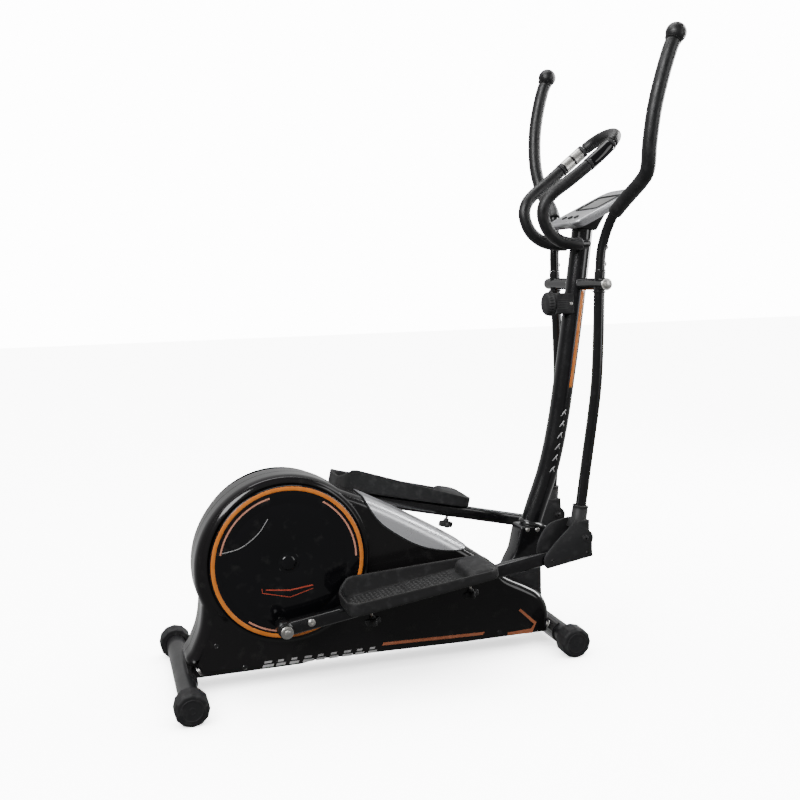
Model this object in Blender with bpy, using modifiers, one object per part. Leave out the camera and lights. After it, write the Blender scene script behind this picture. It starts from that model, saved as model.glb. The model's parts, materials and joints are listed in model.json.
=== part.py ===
"""Elliptical cross trainer: a rear crank with two foot rails, swinging arms and a magnetic brake.

Frame: +X towards the console, +Y to the user's left, +Z up, origin on the floor under the
middle of the overall length. Every object hangs from an empty on the rear stabiliser's axis,
so the dimensions below are measured from that axis, the middle plane and the floor.
"""
import math

import bmesh
import bpy
from mathutils import Matrix, Vector

OBJECT_NAME = "elliptical_trainer"

# Driving dimensions, in metres
DATUM_X = -0.6056            # rear stabiliser axis, from the middle of the overall length
GAP = 0.0003                 # clearance between pieces that touch
WALL = 0.003                 # moulded cover thickness

STABILISER_R = 0.0255
STABILISER_Z = 0.0405
CAP_SIDES = 12
CAP_LENGTH = 0.048
REAR_HALF = 0.249
FRONT_X = 1.020
FRONT_HALF = 0.177

RAIL_BEAM_W = 0.050          # central base beam
BEAM_REAR_LOW = 0.028
HOUSING_LOW = 0.046          # lower edge of the housing, and of the beam's front end
RAIL_BEAM_TOP = 0.090

CRANK_X, CRANK_Z = 0.2661, 0.3217
CRANK_RADIUS = 0.1537
CRANK_REST_DEG = -99.25      # right pin's direction at rest, from +X towards +Z
AXLE_R = 0.009
CRANK_ARM_Y = 0.0785         # arm plate's middle
CRANK_ARM_T = 0.009
DISC_R = 0.196
DISC_Y = 0.0902
PIN_R = 0.008
PIN_END_Y = 0.170

PULLEY_R = 0.130
PULLEY_Y = 0.047
FLYWHEEL_PULLEY_R = 0.022
FLYWHEEL_X, FLYWHEEL_Z = 0.600, 0.205
FLYWHEEL_R = 0.100
FLYWHEEL_W = 0.022
SHAFT_R = 0.006

ARM_AXLE_X, ARM_AXLE_Z = 1.107, 0.993
ARM_AXLE_R = 0.010
JOINT_X, JOINT_Z = -0.014, -0.674    # joint bolt from the arm pivot, in the arm's own frame
RAIL_LENGTH = 0.8274         # crank pin to joint bolt
SIDE_Y = 0.132               # plane of the arms and the rails
ARM_TUBE_R = 0.0145
SLEEVE_R = 0.016
SLEEVE_END_Y = 0.170
HANDLE_R = 0.0130
GRIP_R = 0.0185
BALL_R = 0.0255

RAIL_W, RAIL_H = 0.030, 0.036
JOINT_BOLT_R = 0.006
BOSS_R = 0.016

HOUSING_R = 0.216            # head of the housing, about the crank, at its top
HOUSING_SPREAD = 0.021       # how much the head grows by its rear foot
HOUSING_Y = 0.072            # side wall
HOUSING_RIM_Y = 0.038
HOUSING_ROUND = 0.028

MAST_R = 0.0285
MAST_WALL = 0.002
SOCKET_Y = 0.032
LOOP_R = 0.0125
LOOP_FOAM_R = 0.0165
CONSOLE_SLOPE_DEG = 25.6
CONSOLE_L, CONSOLE_W, CONSOLE_T = 0.216, 0.180, 0.026
CONSOLE_X, CONSOLE_Z = 1.153, 1.203
KNOB_Z = 0.941

RIGHT, LEFT = -1, 1
SIDES = {"right": RIGHT, "left": LEFT}


# ---------------------------------------------------------------- scene set-up

for old in list(bpy.data.objects):
    bpy.data.objects.remove(old, do_unlink=True)


def new_collection(name):
    made = bpy.data.collections.new(name)
    bpy.context.scene.collection.children.link(made)
    return made


PARTS = new_collection(OBJECT_NAME)
CUTTERS = new_collection("cutters")


def material(name, colour, roughness, metallic=0.0):
    made = bpy.data.materials.new(name)
    made.use_nodes = True
    shader = made.node_tree.nodes["Principled BSDF"]
    shader.inputs["Base Color"].default_value = (*colour, 1.0)
    shader.inputs["Roughness"].default_value = roughness
    shader.inputs["Metallic"].default_value = metallic
    return made


BLACK_PAINT = material("black_paint", (0.012, 0.012, 0.014), 0.25)
GREY_PAINT = material("grey_paint", (0.035, 0.035, 0.038), 0.45)
HOUSING_PLASTIC = material("housing_plastic", (0.010, 0.010, 0.012), 0.22)
COVER_PLASTIC = material("cover_plastic", (0.030, 0.030, 0.032), 0.55)
PEDAL_PLASTIC = material("pedal_plastic", (0.025, 0.025, 0.027), 0.70)
GLOSS_PLASTIC = material("disc_plastic", (0.006, 0.006, 0.008), 0.08)
SILVER_PLASTIC = material("silver_plastic", (0.55, 0.56, 0.58), 0.30, 0.6)
FOAM = material("foam", (0.015, 0.015, 0.017), 0.75)
STEEL = material("bright_steel", (0.62, 0.62, 0.60), 0.28, 1.0)
IRON = material("cast_iron", (0.20, 0.20, 0.21), 0.55, 1.0)
RUBBER = material("belt_rubber", (0.012, 0.012, 0.012), 0.80)
SCREEN = material("screen", (0.05, 0.06, 0.06), 0.12)


def finish(obj, paint, parent, location=(0, 0, 0), rotation=(0, 0, 0)):
    """Link an object to the part, hang it from its parent and give it its material."""
    obj.data.materials.clear()
    obj.data.materials.append(paint)
    obj.parent = parent
    obj.location = location
    obj.rotation_euler = rotation
    PARTS.objects.link(obj)
    return obj


def empty(name, parent, location, rotation=(0, 0, 0)):
    made = bpy.data.objects.new(name, None)
    made.parent = parent
    made.location = location
    made.rotation_euler = rotation
    bpy.context.scene.collection.objects.link(made)
    return made


DATUM = empty("datum", None, (DATUM_X, 0, 0))
UPRIGHT = (math.pi / 2, 0, 0)        # turns a flat XY outline into the XZ plane


# ---------------------------------------------------------------- shape tools

def mesh_from(name, build):
    """A mesh object whose faces come from build(bm)."""
    bm = bmesh.new()
    build(bm)
    mesh = bpy.data.meshes.new(name)
    bm.to_mesh(mesh)
    bm.free()
    return bpy.data.objects.new(name, mesh)


def smooth(obj, degrees=40):
    obj.data.shade_smooth()
    obj.data.set_sharp_from_angle(angle=math.radians(degrees))
    return obj


def turn_upright(obj):
    """Stand a plate's XY outline up in the XZ plane, in the mesh itself."""
    obj.data.transform(Matrix.Rotation(math.pi / 2, 4, "X"))


def box(name, size, centre=(0, 0, 0), bevel=0.0):
    matrix = Matrix.Translation(centre) @ Matrix.Diagonal((*size, 1))
    made = mesh_from(name, lambda bm: bmesh.ops.create_cube(bm, size=1.0, matrix=matrix))
    if bevel:
        edge = made.modifiers.new("round", "BEVEL")
        edge.width = bevel
        edge.segments = 2
    return made


def rod(name, radius, low, high, sides=24, x=0.0, z=0.0):
    """A cylinder along Y from low to high."""
    matrix = Matrix.Translation((x, (low + high) / 2, z)) @ Matrix.Rotation(math.pi / 2, 4, "X")
    made = mesh_from(name, lambda bm: bmesh.ops.create_cone(
        bm, cap_ends=True, segments=sides, radius1=radius, radius2=radius,
        depth=high - low, matrix=matrix))
    return smooth(made)


def post(name, radius, low, high, sides=16):
    """A cylinder along Z from low to high."""
    matrix = Matrix.Translation((0, 0, (low + high) / 2))
    made = mesh_from(name, lambda bm: bmesh.ops.create_cone(
        bm, cap_ends=True, segments=sides, radius1=radius, radius2=radius,
        depth=high - low, matrix=matrix))
    return smooth(made)


def turned(name, profile, sides=32):
    """A profile of (radius, height) points, top to bottom down its outer side, turned about Z."""
    def build(bm):
        points = [bm.verts.new((radius, 0, height)) for radius, height in profile]
        loop = points if profile[0][0] == 0 else points + [points[0]]
        for first, second in zip(loop, loop[1:]):
            bm.edges.new((first, second))
    made = mesh_from(name, build)
    screw = made.modifiers.new("turn", "SCREW")
    screw.steps = sides
    screw.render_steps = sides
    screw.use_merge_vertices = True
    screw.merge_threshold = 0.0001
    screw.use_smooth_shade = True
    return made


def catmull(points, per_span):
    """A smooth run of points through the given ones."""
    path = [Vector(point) for point in points]
    ends = [2 * path[0] - path[1]] + path + [2 * path[-1] - path[-2]]
    run = []
    for index in range(1, len(ends) - 2):
        before, start, stop, after = ends[index - 1:index + 3]
        for step in range(per_span):
            t = step / per_span
            run.append(0.5 * (2 * start + (stop - before) * t
                              + (2 * before - 5 * start + 4 * stop - after) * t * t
                              + (3 * start - before - 3 * stop + after) * t ** 3))
    return run + [path[-1]]


def lengthened(path, reach):
    """A run of points carried straight on at both ends."""
    first = path[0] + (path[0] - path[1]).normalized() * reach
    last = path[-1] + (path[-1] - path[-2]).normalized() * reach
    return [first, *path[1:-1], last]


def tube(name, points, radius, resolution=4, caps=True):
    """A round bar along a run of points."""
    curve = bpy.data.curves.new(name, "CURVE")
    curve.dimensions = "3D"
    curve.bevel_depth = radius
    curve.bevel_resolution = resolution
    curve.use_fill_caps = caps
    spline = curve.splines.new("POLY")
    spline.points.add(len(points) - 1)
    for slot, point in zip(spline.points, points):
        slot.co = (*point, 1.0)
    return bpy.data.objects.new(name, curve)


def sleeve(name, points, outer, wall, resolution=4):
    """An open-ended hollow tube along a run of points."""
    made = tube(name, points, outer, resolution, caps=False)
    skin = made.modifiers.new("wall", "SOLIDIFY")
    skin.thickness = wall
    skin.offset = -1.0
    return made


def as_mesh(obj):
    """A closed mesh copy of a curve object, which is removed."""
    bpy.context.scene.collection.objects.link(obj)
    bpy.context.view_layer.update()
    graph = bpy.context.evaluated_depsgraph_get()
    mesh = bpy.data.meshes.new_from_object(obj.evaluated_get(graph))
    bm = bmesh.new()
    bm.from_mesh(mesh)
    bmesh.ops.remove_doubles(bm, verts=bm.verts, dist=0.00001)
    bm.to_mesh(mesh)
    bm.free()
    name, matrix = obj.name, obj.matrix_world.copy()
    bpy.data.objects.remove(obj)
    made = bpy.data.objects.new(name, mesh)
    made.matrix_world = matrix
    return made


def outline_plate(name, outline, thickness, holes=()):
    """A flat outline in the XY plane, extruded about that plane."""
    curve = bpy.data.curves.new(name, "CURVE")
    curve.dimensions = "2D"
    curve.fill_mode = "BOTH"
    curve.extrude = thickness / 2
    for ring in (outline, *holes):
        spline = curve.splines.new("POLY")
        spline.points.add(len(ring) - 1)
        for slot, (x, y) in zip(spline.points, ring):
            slot.co = (x, y, 0.0, 1.0)
        spline.use_cyclic_u = True
    return bpy.data.objects.new(name, curve)


def loft(name, rings):
    """A closed solid through rings of equal point counts, from the first to the last."""
    def build(bm):
        rows = [[bm.verts.new(point) for point in ring] for ring in rings]
        for lower, upper in zip(rows, rows[1:]):
            count = len(lower)
            for index in range(count):
                after = (index + 1) % count
                bm.faces.new((lower[index], lower[after], upper[after], upper[index]))
        bm.faces.new(list(reversed(rows[0])))
        bm.faces.new(rows[-1])
        bmesh.ops.recalc_face_normals(bm, faces=bm.faces)
    return mesh_from(name, build)


def arc(x, y, radius, start, stop, steps):
    """Points on a circle, angles in degrees, both ends included."""
    turn = [math.radians(start + (stop - start) * step / steps) for step in range(steps + 1)]
    return [(x + radius * math.cos(a), y + radius * math.sin(a)) for a in turn]


def rounded_box_ring(half_x, half_y, radius, steps=3, x=0.0, y=0.0):
    """A rounded rectangle, anticlockwise."""
    ring = []
    for turn, (sx, sy) in enumerate([(1, 1), (-1, 1), (-1, -1), (1, -1)]):
        ring += arc(x + sx * (half_x - radius), y + sy * (half_y - radius), radius,
                    90 * turn, 90 * turn + 90, steps)
    return ring


def combine(target, tool, operation):
    """Add a Boolean against a tool that isn't part of the object."""
    if tool.name not in CUTTERS.objects:
        CUTTERS.objects.link(tool)
    tool.hide_render = True
    tool.display_type = "WIRE"
    step = target.modifiers.new(operation.lower(), "BOOLEAN")
    step.operation = operation
    step.object = tool
    step.solver = "EXACT"
    return target


def cut(target, tool):
    return combine(target, tool, "DIFFERENCE")


def add(target, tool):
    return combine(target, tool, "UNION")


def tool_at(tool, parent, location=(0, 0, 0), rotation=(0, 0, 0)):
    tool.parent = parent
    tool.location = location
    tool.rotation_euler = rotation
    return tool


# ---------------------------------------------------------------- linkage geometry

def pin_position(side):
    angle = math.radians(CRANK_REST_DEG) + (0 if side == RIGHT else math.pi)
    return (CRANK_X + CRANK_RADIUS * math.cos(angle), CRANK_Z + CRANK_RADIUS * math.sin(angle))


def joint_position(side):
    """Where the rail's circle about the pin meets the arm's circle about its axle."""
    pin_x, pin_z = pin_position(side)
    dx, dz = ARM_AXLE_X - pin_x, ARM_AXLE_Z - pin_z
    span = math.hypot(dx, dz)
    along = (RAIL_LENGTH ** 2 - JOINT_X ** 2 - JOINT_Z ** 2 + span ** 2) / (2 * span)
    across = math.sqrt(RAIL_LENGTH ** 2 - along ** 2)
    return (pin_x + (along * dx + across * dz) / span, pin_z + (along * dz - across * dx) / span)


def arm_lean(side):
    """The arm's turn about +Y at rest: positive swings its lower end to the rear."""
    joint_x, joint_z = joint_position(side)
    return math.atan2(ARM_AXLE_X - joint_x, ARM_AXLE_Z - joint_z) - math.atan2(-JOINT_X, -JOINT_Z)


def rail_pitch(side):
    """The rail's turn about +Y at rest: positive dips its front end."""
    pin_x, pin_z = pin_position(side)
    joint_x, joint_z = joint_position(side)
    return -math.atan2(joint_z - pin_z, joint_x - pin_x)


# ---------------------------------------------------------------- stabilisers and base frame

def stabiliser(name, x, half):
    made = rod(name, STABILISER_R, -half + 0.006, half - 0.006, 24)
    finish(made, GREY_PAINT, DATUM, (x, 0, STABILISER_Z))


def end_cap(name, x, half, side):
    """A polygonal rubber cap with a flat lowest side, hollow where it takes the tube."""
    flat = STABILISER_Z
    corner = flat / math.cos(math.pi / CAP_SIDES)
    turn = math.pi / CAP_SIDES
    rings = []
    inner = STABILISER_R + GAP
    for y, radius in ((half, corner - 0.0045), (half - 0.0045, corner), (half - CAP_LENGTH, corner)):
        rings.append([(radius * math.sin(turn + step * 2 * turn), side * y,
                       -radius * math.cos(turn + step * 2 * turn)) for step in range(CAP_SIDES)])
    made = loft(name, rings)
    low, high = sorted((side * (half - CAP_LENGTH - 0.01), side * (half - 0.0055)))
    bore = rod(name + "_bore", inner, low, high, 24)
    cut(made, tool_at(bore, DATUM, (x, 0, STABILISER_Z)))
    finish(made, COVER_PLASTIC, DATUM, (x, 0, STABILISER_Z))


def saddle(name, x, facing):
    """A curved plate that hugs a stabiliser, open on the side away from the beam."""
    inner, outer = STABILISER_R + GAP, STABILISER_R + 0.0045
    middle = 0 if facing > 0 else 180
    ring = arc(0, 0, outer, middle - 75, middle + 75, 10)
    ring += arc(0, 0, inner, middle + 75, middle - 75, 10)
    made = as_mesh(outline_plate(name, ring, 0.170))
    return tool_at(made, DATUM, (x, 0, STABILISER_Z), UPRIGHT)


def base_frame():
    """The welded base: beam, saddles, crank post with its bearing tube, and flywheel brackets."""
    start, stop = STABILISER_R + 0.002, FRONT_X - STABILISER_R - 0.002
    side_view = [(start, BEAM_REAR_LOW), (0.30, BEAM_REAR_LOW), (0.42, HOUSING_LOW), (stop, HOUSING_LOW),
                 (stop, RAIL_BEAM_TOP), (start, RAIL_BEAM_TOP)]
    beam = as_mesh(outline_plate("base_frame", side_view, RAIL_BEAM_W))
    turn_upright(beam)
    add(beam, saddle("rear_saddle", 0, 1))
    add(beam, saddle("front_saddle", FRONT_X, -1))
    ring = [(CRANK_X - 0.034, 0.085), (CRANK_X + 0.034, 0.085), (CRANK_X + 0.018, CRANK_Z),
            (CRANK_X - 0.018, CRANK_Z)]
    web = as_mesh(outline_plate("crank_web", ring, 0.030))
    add(beam, tool_at(web, DATUM, (0, 0, 0), UPRIGHT))
    add(beam, tool_at(rod("bearing_tube", 0.024, -0.033, 0.033, 20), DATUM, (CRANK_X, 0, CRANK_Z)))
    cut(beam, tool_at(rod("bearing_bore", AXLE_R + GAP, -0.04, 0.04, 16), DATUM, (CRANK_X, 0, CRANK_Z)))
    shelf_low, shelf_high = -0.030, 0.066
    shelf = box("shelf", (0.060, shelf_high - shelf_low, 0.005),
                (FLYWHEEL_X, (shelf_low + shelf_high) / 2, RAIL_BEAM_TOP + 0.001))
    add(beam, tool_at(shelf, DATUM))
    lug = [(-0.028, -0.114), (0.028, -0.114)] + arc(0, 0, 0.014, 0, 180, 6)
    for name, y in (("lug_right", -0.026), ("lug_left", 0.0625)):
        made = as_mesh(outline_plate(name, lug, 0.004))
        add(beam, tool_at(made, DATUM, (FLYWHEEL_X, y, FLYWHEEL_Z), UPRIGHT))
    shaft = rod("shaft_bore", SHAFT_R + GAP, -0.05, 0.09, 16)
    cut(beam, tool_at(shaft, DATUM, (FLYWHEEL_X, 0, FLYWHEEL_Z)))
    brake_x, brake_z = brake_pivot()
    stem = [(-0.010, 0.085 - brake_z), (0.014, 0.085 - brake_z)] + arc(0, 0, 0.010, 0, 180, 5)
    stalk = as_mesh(outline_plate("brake_stalk", stem, 0.006))
    add(beam, tool_at(stalk, DATUM, (brake_x, -0.020, brake_z), UPRIGHT))
    add(beam, tool_at(rod("brake_pin", 0.0045, -0.021, 0.016, 12), DATUM, (brake_x, 0, brake_z)))
    finish(beam, BLACK_PAINT, DATUM)


# ---------------------------------------------------------------- drive and brake

def drive_pulley():
    half = 0.007
    rim = PULLEY_R - 0.014
    profile = [(0.0095, half), (0.022, half), (0.024, 0.003), (rim, 0.003), (rim + 0.004, half),
               (PULLEY_R, half), (PULLEY_R, -half), (rim + 0.004, -half), (rim, -0.003),
               (0.024, -0.003), (0.022, -half), (0.0095, -half)]
    made = turned("drive_pulley", profile, 40)
    finish(made, COVER_PLASTIC, CRANK, (0, PULLEY_Y, 0), (-math.pi / 2, 0, 0))


def flywheel():
    half = FLYWHEEL_W / 2
    bore = SHAFT_R + GAP
    hub_top = PULLEY_Y + 0.007
    profile = [(bore, hub_top), (FLYWHEEL_PULLEY_R, hub_top), (FLYWHEEL_PULLEY_R, PULLEY_Y - 0.007),
               (0.014, PULLEY_Y - 0.008), (0.014, half - 0.004), (FLYWHEEL_R - 0.025, half - 0.004),
               (FLYWHEEL_R - 0.022, half), (FLYWHEEL_R, half), (FLYWHEEL_R, -half),
               (FLYWHEEL_R - 0.022, -half), (FLYWHEEL_R - 0.025, -half + 0.004),
               (0.020, -half + 0.004), (0.018, -half - 0.004), (bore, -half - 0.004)]
    made = turned("flywheel", profile, 40)
    finish(made, IRON, FLYWHEEL, (0, 0, 0), (-math.pi / 2, 0, 0))


def flywheel_axle():
    made = rod("flywheel_axle", SHAFT_R, -0.034, 0.0675, 16)
    finish(made, STEEL, DATUM, (FLYWHEEL_X, 0, FLYWHEEL_Z))


def belt_ring(lift):
    """The open belt line round both pulleys, a distance outside them."""
    dx, dz = FLYWHEEL_X - CRANK_X, FLYWHEEL_Z - CRANK_Z
    along = math.degrees(math.atan2(dz, dx))
    spread = math.degrees(math.acos((PULLEY_R - FLYWHEEL_PULLEY_R) / math.hypot(dx, dz)))
    ring = arc(CRANK_X, CRANK_Z, PULLEY_R + lift, along + spread, along + 360 - spread, 30)
    ring += arc(FLYWHEEL_X, FLYWHEEL_Z, FLYWHEEL_PULLEY_R + lift, along - spread, along + spread, 10)
    return ring


def drive_belt():
    made = outline_plate("drive_belt", belt_ring(0.0042), 0.009, [belt_ring(0.0012)])
    finish(made, RUBBER, DATUM, (0, PULLEY_Y, 0), UPRIGHT)


def brake_pivot():
    reach, angle = FLYWHEEL_R + 0.018, math.radians(22)
    return FLYWHEEL_X + reach * math.cos(angle), FLYWHEEL_Z + reach * math.sin(angle)


def magnet_bracket():
    """An arc of magnets over the flywheel's rim, hung from a pin at its front end."""
    inner, outer = FLYWHEEL_R + 0.005, FLYWHEEL_R + 0.013
    pivot_x, pivot_z = brake_pivot()
    ring = arc(0, 0, outer, 30, 78, 8) + arc(0, 0, inner, 78, 30, 8)
    made = as_mesh(outline_plate("magnet_bracket", ring, 0.022))
    eye = rod("magnet_eye", 0.010, -0.011, 0.011, 16)
    bore = rod("magnet_bore", 0.0048, -0.02, 0.02, 12)
    link = as_mesh(outline_plate("magnet_link", [
        (pivot_x - FLYWHEEL_X + 0.004, pivot_z - FLYWHEEL_Z + 0.004),
        (pivot_x - FLYWHEEL_X - 0.008, pivot_z - FLYWHEEL_Z),
        *arc(0, 0, inner + 0.001, 31, 38, 2), *arc(0, 0, outer - 0.001, 38, 31, 2)], 0.018))
    offset = (FLYWHEEL_X - pivot_x, 0, FLYWHEEL_Z - pivot_z)
    add(made, tool_at(link, BRAKE, offset, UPRIGHT))
    add(made, tool_at(eye, BRAKE))
    cut(made, tool_at(bore, BRAKE))
    finish(made, IRON, BRAKE, offset, UPRIGHT)


def crank_axle():
    made = rod("crank_axle", AXLE_R - 0.0001, -CRANK_ARM_Y - 0.004, CRANK_ARM_Y + 0.004, 16)
    finish(made, STEEL, CRANK)


def crank_arm(label, side):
    """A flat arm behind the disc with the foot rail's pin standing out of its end."""
    pin_x, pin_z = pin_position(side)
    reach = (pin_x - CRANK_X, pin_z - CRANK_Z)
    turn = math.degrees(math.atan2(reach[1], reach[0]))
    ring = arc(0, 0, 0.020, turn + 90, turn + 270, 8)
    ring += arc(reach[0], reach[1], 0.016, turn - 90, turn + 90, 8)
    made = as_mesh(outline_plate("crank_arm_" + label, ring, CRANK_ARM_T))
    cut(made, tool_at(rod("arm_bore_" + label, AXLE_R + GAP, -0.03, 0.03, 16), CRANK,
                      (0, side * CRANK_ARM_Y, 0)))
    low, high = sorted((side * CRANK_ARM_Y, side * PIN_END_Y))
    add(made, tool_at(rod("pin_" + label, PIN_R, low, high, 16), CRANK, (reach[0], 0, reach[1])))
    head_low, head_high = sorted((side * (PIN_END_Y - 0.001), side * (PIN_END_Y + 0.007)))
    add(made, tool_at(rod("pin_head_" + label, 0.0125, head_low, head_high, 12), CRANK,
                      (reach[0], 0, reach[1])))
    finish(made, STEEL, CRANK, (0, side * CRANK_ARM_Y, 0), UPRIGHT)


def crank_disc(label, side):
    """A dished gloss disc that covers the crank arm."""
    face = DISC_Y
    profile = [(0, face), (0.030, face), (DISC_R - 0.006, face), (DISC_R, face - 0.004),
               (DISC_R, face - 0.0095), (DISC_R - 0.003, face - 0.0095),
               (DISC_R - 0.006, face - 0.003), (0, face - 0.003)]
    made = turned("crank_disc_" + label, profile, 48)
    pin_x, pin_z = pin_position(side)
    low, high = sorted((side * 0.07, side * 0.11))
    hole = rod("disc_hole_" + label, PIN_R + GAP, low, high, 16)
    cut(made, tool_at(hole, CRANK, (pin_x - CRANK_X, 0, pin_z - CRANK_Z)))
    finish(made, GLOSS_PLASTIC, CRANK, (0, 0, 0), (-side * math.pi / 2, 0, 0))


# ---------------------------------------------------------------- housing

def housing_outline():
    """The housing's side view, from the rear foot over the head and down the nose."""
    head = []
    for degrees in range(198, 47, -10):
        radius = HOUSING_R + HOUSING_SPREAD * ((degrees - 95) / 105) ** 2
        turn = math.radians(degrees)
        head.append((CRANK_X + radius * math.cos(turn), CRANK_Z + radius * math.sin(turn)))
    foot = [(0.042, 0.034), (0.006, 0.082), (0.024, 0.118), (0.043, 0.166), (0.050, 0.212)]
    slope = [(0.480, 0.458), (0.570, 0.411), (0.680, 0.347), (0.760, 0.297), (0.838, 0.242)]
    nose = [(0.868, 0.212), (0.925, 0.181), (0.962, 0.158), (0.984, 0.129), (0.994, 0.100), (0.997, 0.036)]
    return foot + head + slope + nose


def inset(outline, distance):
    """An open outline moved towards its inside, which lies on its right."""
    moved = []
    for index, (x, z) in enumerate(outline):
        before = outline[max(index - 1, 0)]
        after = outline[min(index + 1, len(outline) - 1)]
        dx, dz = after[0] - before[0], after[1] - before[1]
        length = math.hypot(dx, dz)
        moved.append((x + distance * dz / length, z - distance * dx / length))
    return moved


def housing(label, side):
    """Half of the moulded housing: a rim, a rounded shoulder and a flat side, open below."""
    outline = housing_outline()
    rows = [(0.0, 0.5 * GAP), (0.0, HOUSING_RIM_Y)]
    for degrees in (45, 90):
        turn = math.radians(degrees)
        rows.append((HOUSING_ROUND * (1 - math.cos(turn)) * 0.9,
                     HOUSING_RIM_Y + (HOUSING_Y - HOUSING_RIM_Y) * math.sin(turn)))
    def build(bm):
        lines = []
        for depth, y in rows:
            lines.append([bm.verts.new((x, side * y, z)) for x, z in inset(outline, depth)])
        for first, second in zip(lines, lines[1:]):
            for index in range(len(first) - 1):
                bm.faces.new((first[index], first[index + 1], second[index + 1], second[index]))
        bm.faces.new(lines[-1])
        bmesh.ops.recalc_face_normals(bm, faces=bm.faces)
        middle = Vector((CRANK_X, 0, CRANK_Z))
        flat = max(bm.faces, key=lambda face: len(face.verts))
        if (flat.calc_center_median() - middle).dot(flat.normal) < 0:
            bmesh.ops.reverse_faces(bm, faces=bm.faces)

    made = mesh_from("housing_" + label, build)
    shell = made.modifiers.new("wall", "SOLIDIFY")
    shell.thickness = WALL
    shell.offset = -1.0
    floor = box("housing_floor_" + label, (1.2, 0.2, 0.1), (0.5, 0, HOUSING_LOW - 0.05))
    cut(made, tool_at(floor, DATUM))
    beam = box("housing_beam_" + label, (0.10, RAIL_BEAM_W + 2 * GAP, 0.10),
               (0.96, 0, RAIL_BEAM_TOP + GAP - 0.05))
    cut(made, tool_at(beam, DATUM))
    low_y, high_y = sorted((side * 0.05, side * 0.09))
    hole = rod("housing_hole_" + label, 0.026, low_y, high_y, 20)
    cut(made, tool_at(hole, DATUM, (CRANK_X, 0, CRANK_Z)))
    neck = box("housing_neck_" + label, (0.126, 0.086, 0.30), (0.927, 0, 0.130 + 0.15))
    cut(made, tool_at(neck, DATUM))
    for x in (0.0, FRONT_X):
        notch = box("housing_notch_%s_%d" % (label, x), (0.078, 0.176, 0.08), (x, 0, STABILISER_Z - 0.006))
        cut(made, tool_at(notch, DATUM))
    finish(smooth(made, 35), HOUSING_PLASTIC, DATUM)


def top_trim():
    """A lens-shaped silver cover that saddles the housing's front slope and both its shoulders."""
    outline = housing_outline()
    near = [index for index, point in enumerate(outline) if 0.40 < point[0] < 0.85 and point[1] > 0.22]

    def ring(index, lift):
        half = [(-lift, HOUSING_RIM_Y + 0.2 * lift)]
        for degrees in (45, 90):
            turn = math.radians(degrees)
            half.append((HOUSING_ROUND * (1 - math.cos(turn)) * 0.9 - lift * math.cos(turn),
                         HOUSING_RIM_Y + (HOUSING_Y - HOUSING_RIM_Y) * math.sin(turn) + lift * math.sin(turn)))
        half.append((0.070, HOUSING_Y + lift))
        points = []
        for depth, y in half:
            x, z = inset(outline, depth)[index]
            points.append((x, y, z))
        return [(x, -y, z) for x, y, z in reversed(points)] + points

    rings = [ring(index, 0.0045) + list(reversed(ring(index, 0.0008))) for index in near]
    made = loft("top_trim", rings)
    lens = [(0.470, 0.500), (0.474, 0.466), (0.484, 0.440), (0.515, 0.396), (0.571, 0.352),
            (0.625, 0.323), (0.681, 0.307), (0.735, 0.302), (0.756, 0.306), (0.760, 0.330)]
    plate = as_mesh(outline_plate("trim_lens", lens, 0.200))
    combine(made, tool_at(plate, DATUM, (0, 0, 0), UPRIGHT), "INTERSECT")
    finish(smooth(made, 50), SILVER_PLASTIC, DATUM)


# ---------------------------------------------------------------- mast and its foot

def mast_path():
    return catmull([(0.929, 0, 0.190), (0.970, 0, 0.345), (1.018, 0, 0.478), (1.048, 0, 0.600),
                    (1.072, 0, 0.745), (1.092, 0, 0.880), (1.107, 0, 0.993), (1.119, 0, 1.085),
                    (1.1255, 0, 1.140)], 2)


def mast():
    made = as_mesh(tube("mast", mast_path(), MAST_R, 6))
    bore = as_mesh(tube("mast_inside", lengthened(mast_path(), 0.01), MAST_R - MAST_WALL, 6))
    cut(made, tool_at(bore, DATUM))
    cut(made, tool_at(rod("mast_axle_hole", ARM_AXLE_R + GAP, -0.05, 0.05, 16), DATUM,
                      (ARM_AXLE_X, 0, ARM_AXLE_Z)))
    cable_hole = rod("mast_cable_hole", 0.005, -0.03, 0.03, 10)
    cut(made, tool_at(cable_hole, DATUM, (mast_centre(KNOB_Z) - MAST_R, 0, KNOB_Z), (0, 0, math.pi / 2)))
    finish(smooth(made), BLACK_PAINT, DATUM)


def mast_centre(height):
    """The mast centreline's x at a height."""
    path = mast_path()
    for lower, upper in zip(path, path[1:]):
        if lower.z <= height <= upper.z:
            share = (height - lower.z) / (upper.z - lower.z)
            return lower.x + share * (upper.x - lower.x)
    return path[-1].x


def mast_socket():
    """The welded foot post that the mast stands in, flared to the rear, open down its middle."""
    ring = [(0.872, RAIL_BEAM_TOP + GAP), (0.958, RAIL_BEAM_TOP + GAP), (0.976, 0.250), (1.003, 0.332),
            (0.925, 0.336), (0.918, 0.305), (0.908, 0.266), (0.893, 0.238), (0.884, 0.215), (0.876, 0.150)]
    made = as_mesh(outline_plate("mast_socket", ring, 2 * SOCKET_Y))
    upper = as_mesh(tube("socket_bore", [(0.916, 0, 0.130), (0.929, 0, 0.190), *mast_path()[1:6]],
                         MAST_R + GAP, 6))
    cut(made, tool_at(upper, DATUM))
    channel = box("socket_channel", (0.050, 0.044, 0.060), (0.922, 0, 0.128))
    cut(made, tool_at(channel, DATUM))
    door = box("socket_door", (0.06, 0.030, 0.030), (0.885, 0, 0.125))
    cut(made, tool_at(door, DATUM))
    finish(made, BLACK_PAINT, DATUM, (0, 0, 0), UPRIGHT)


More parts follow.
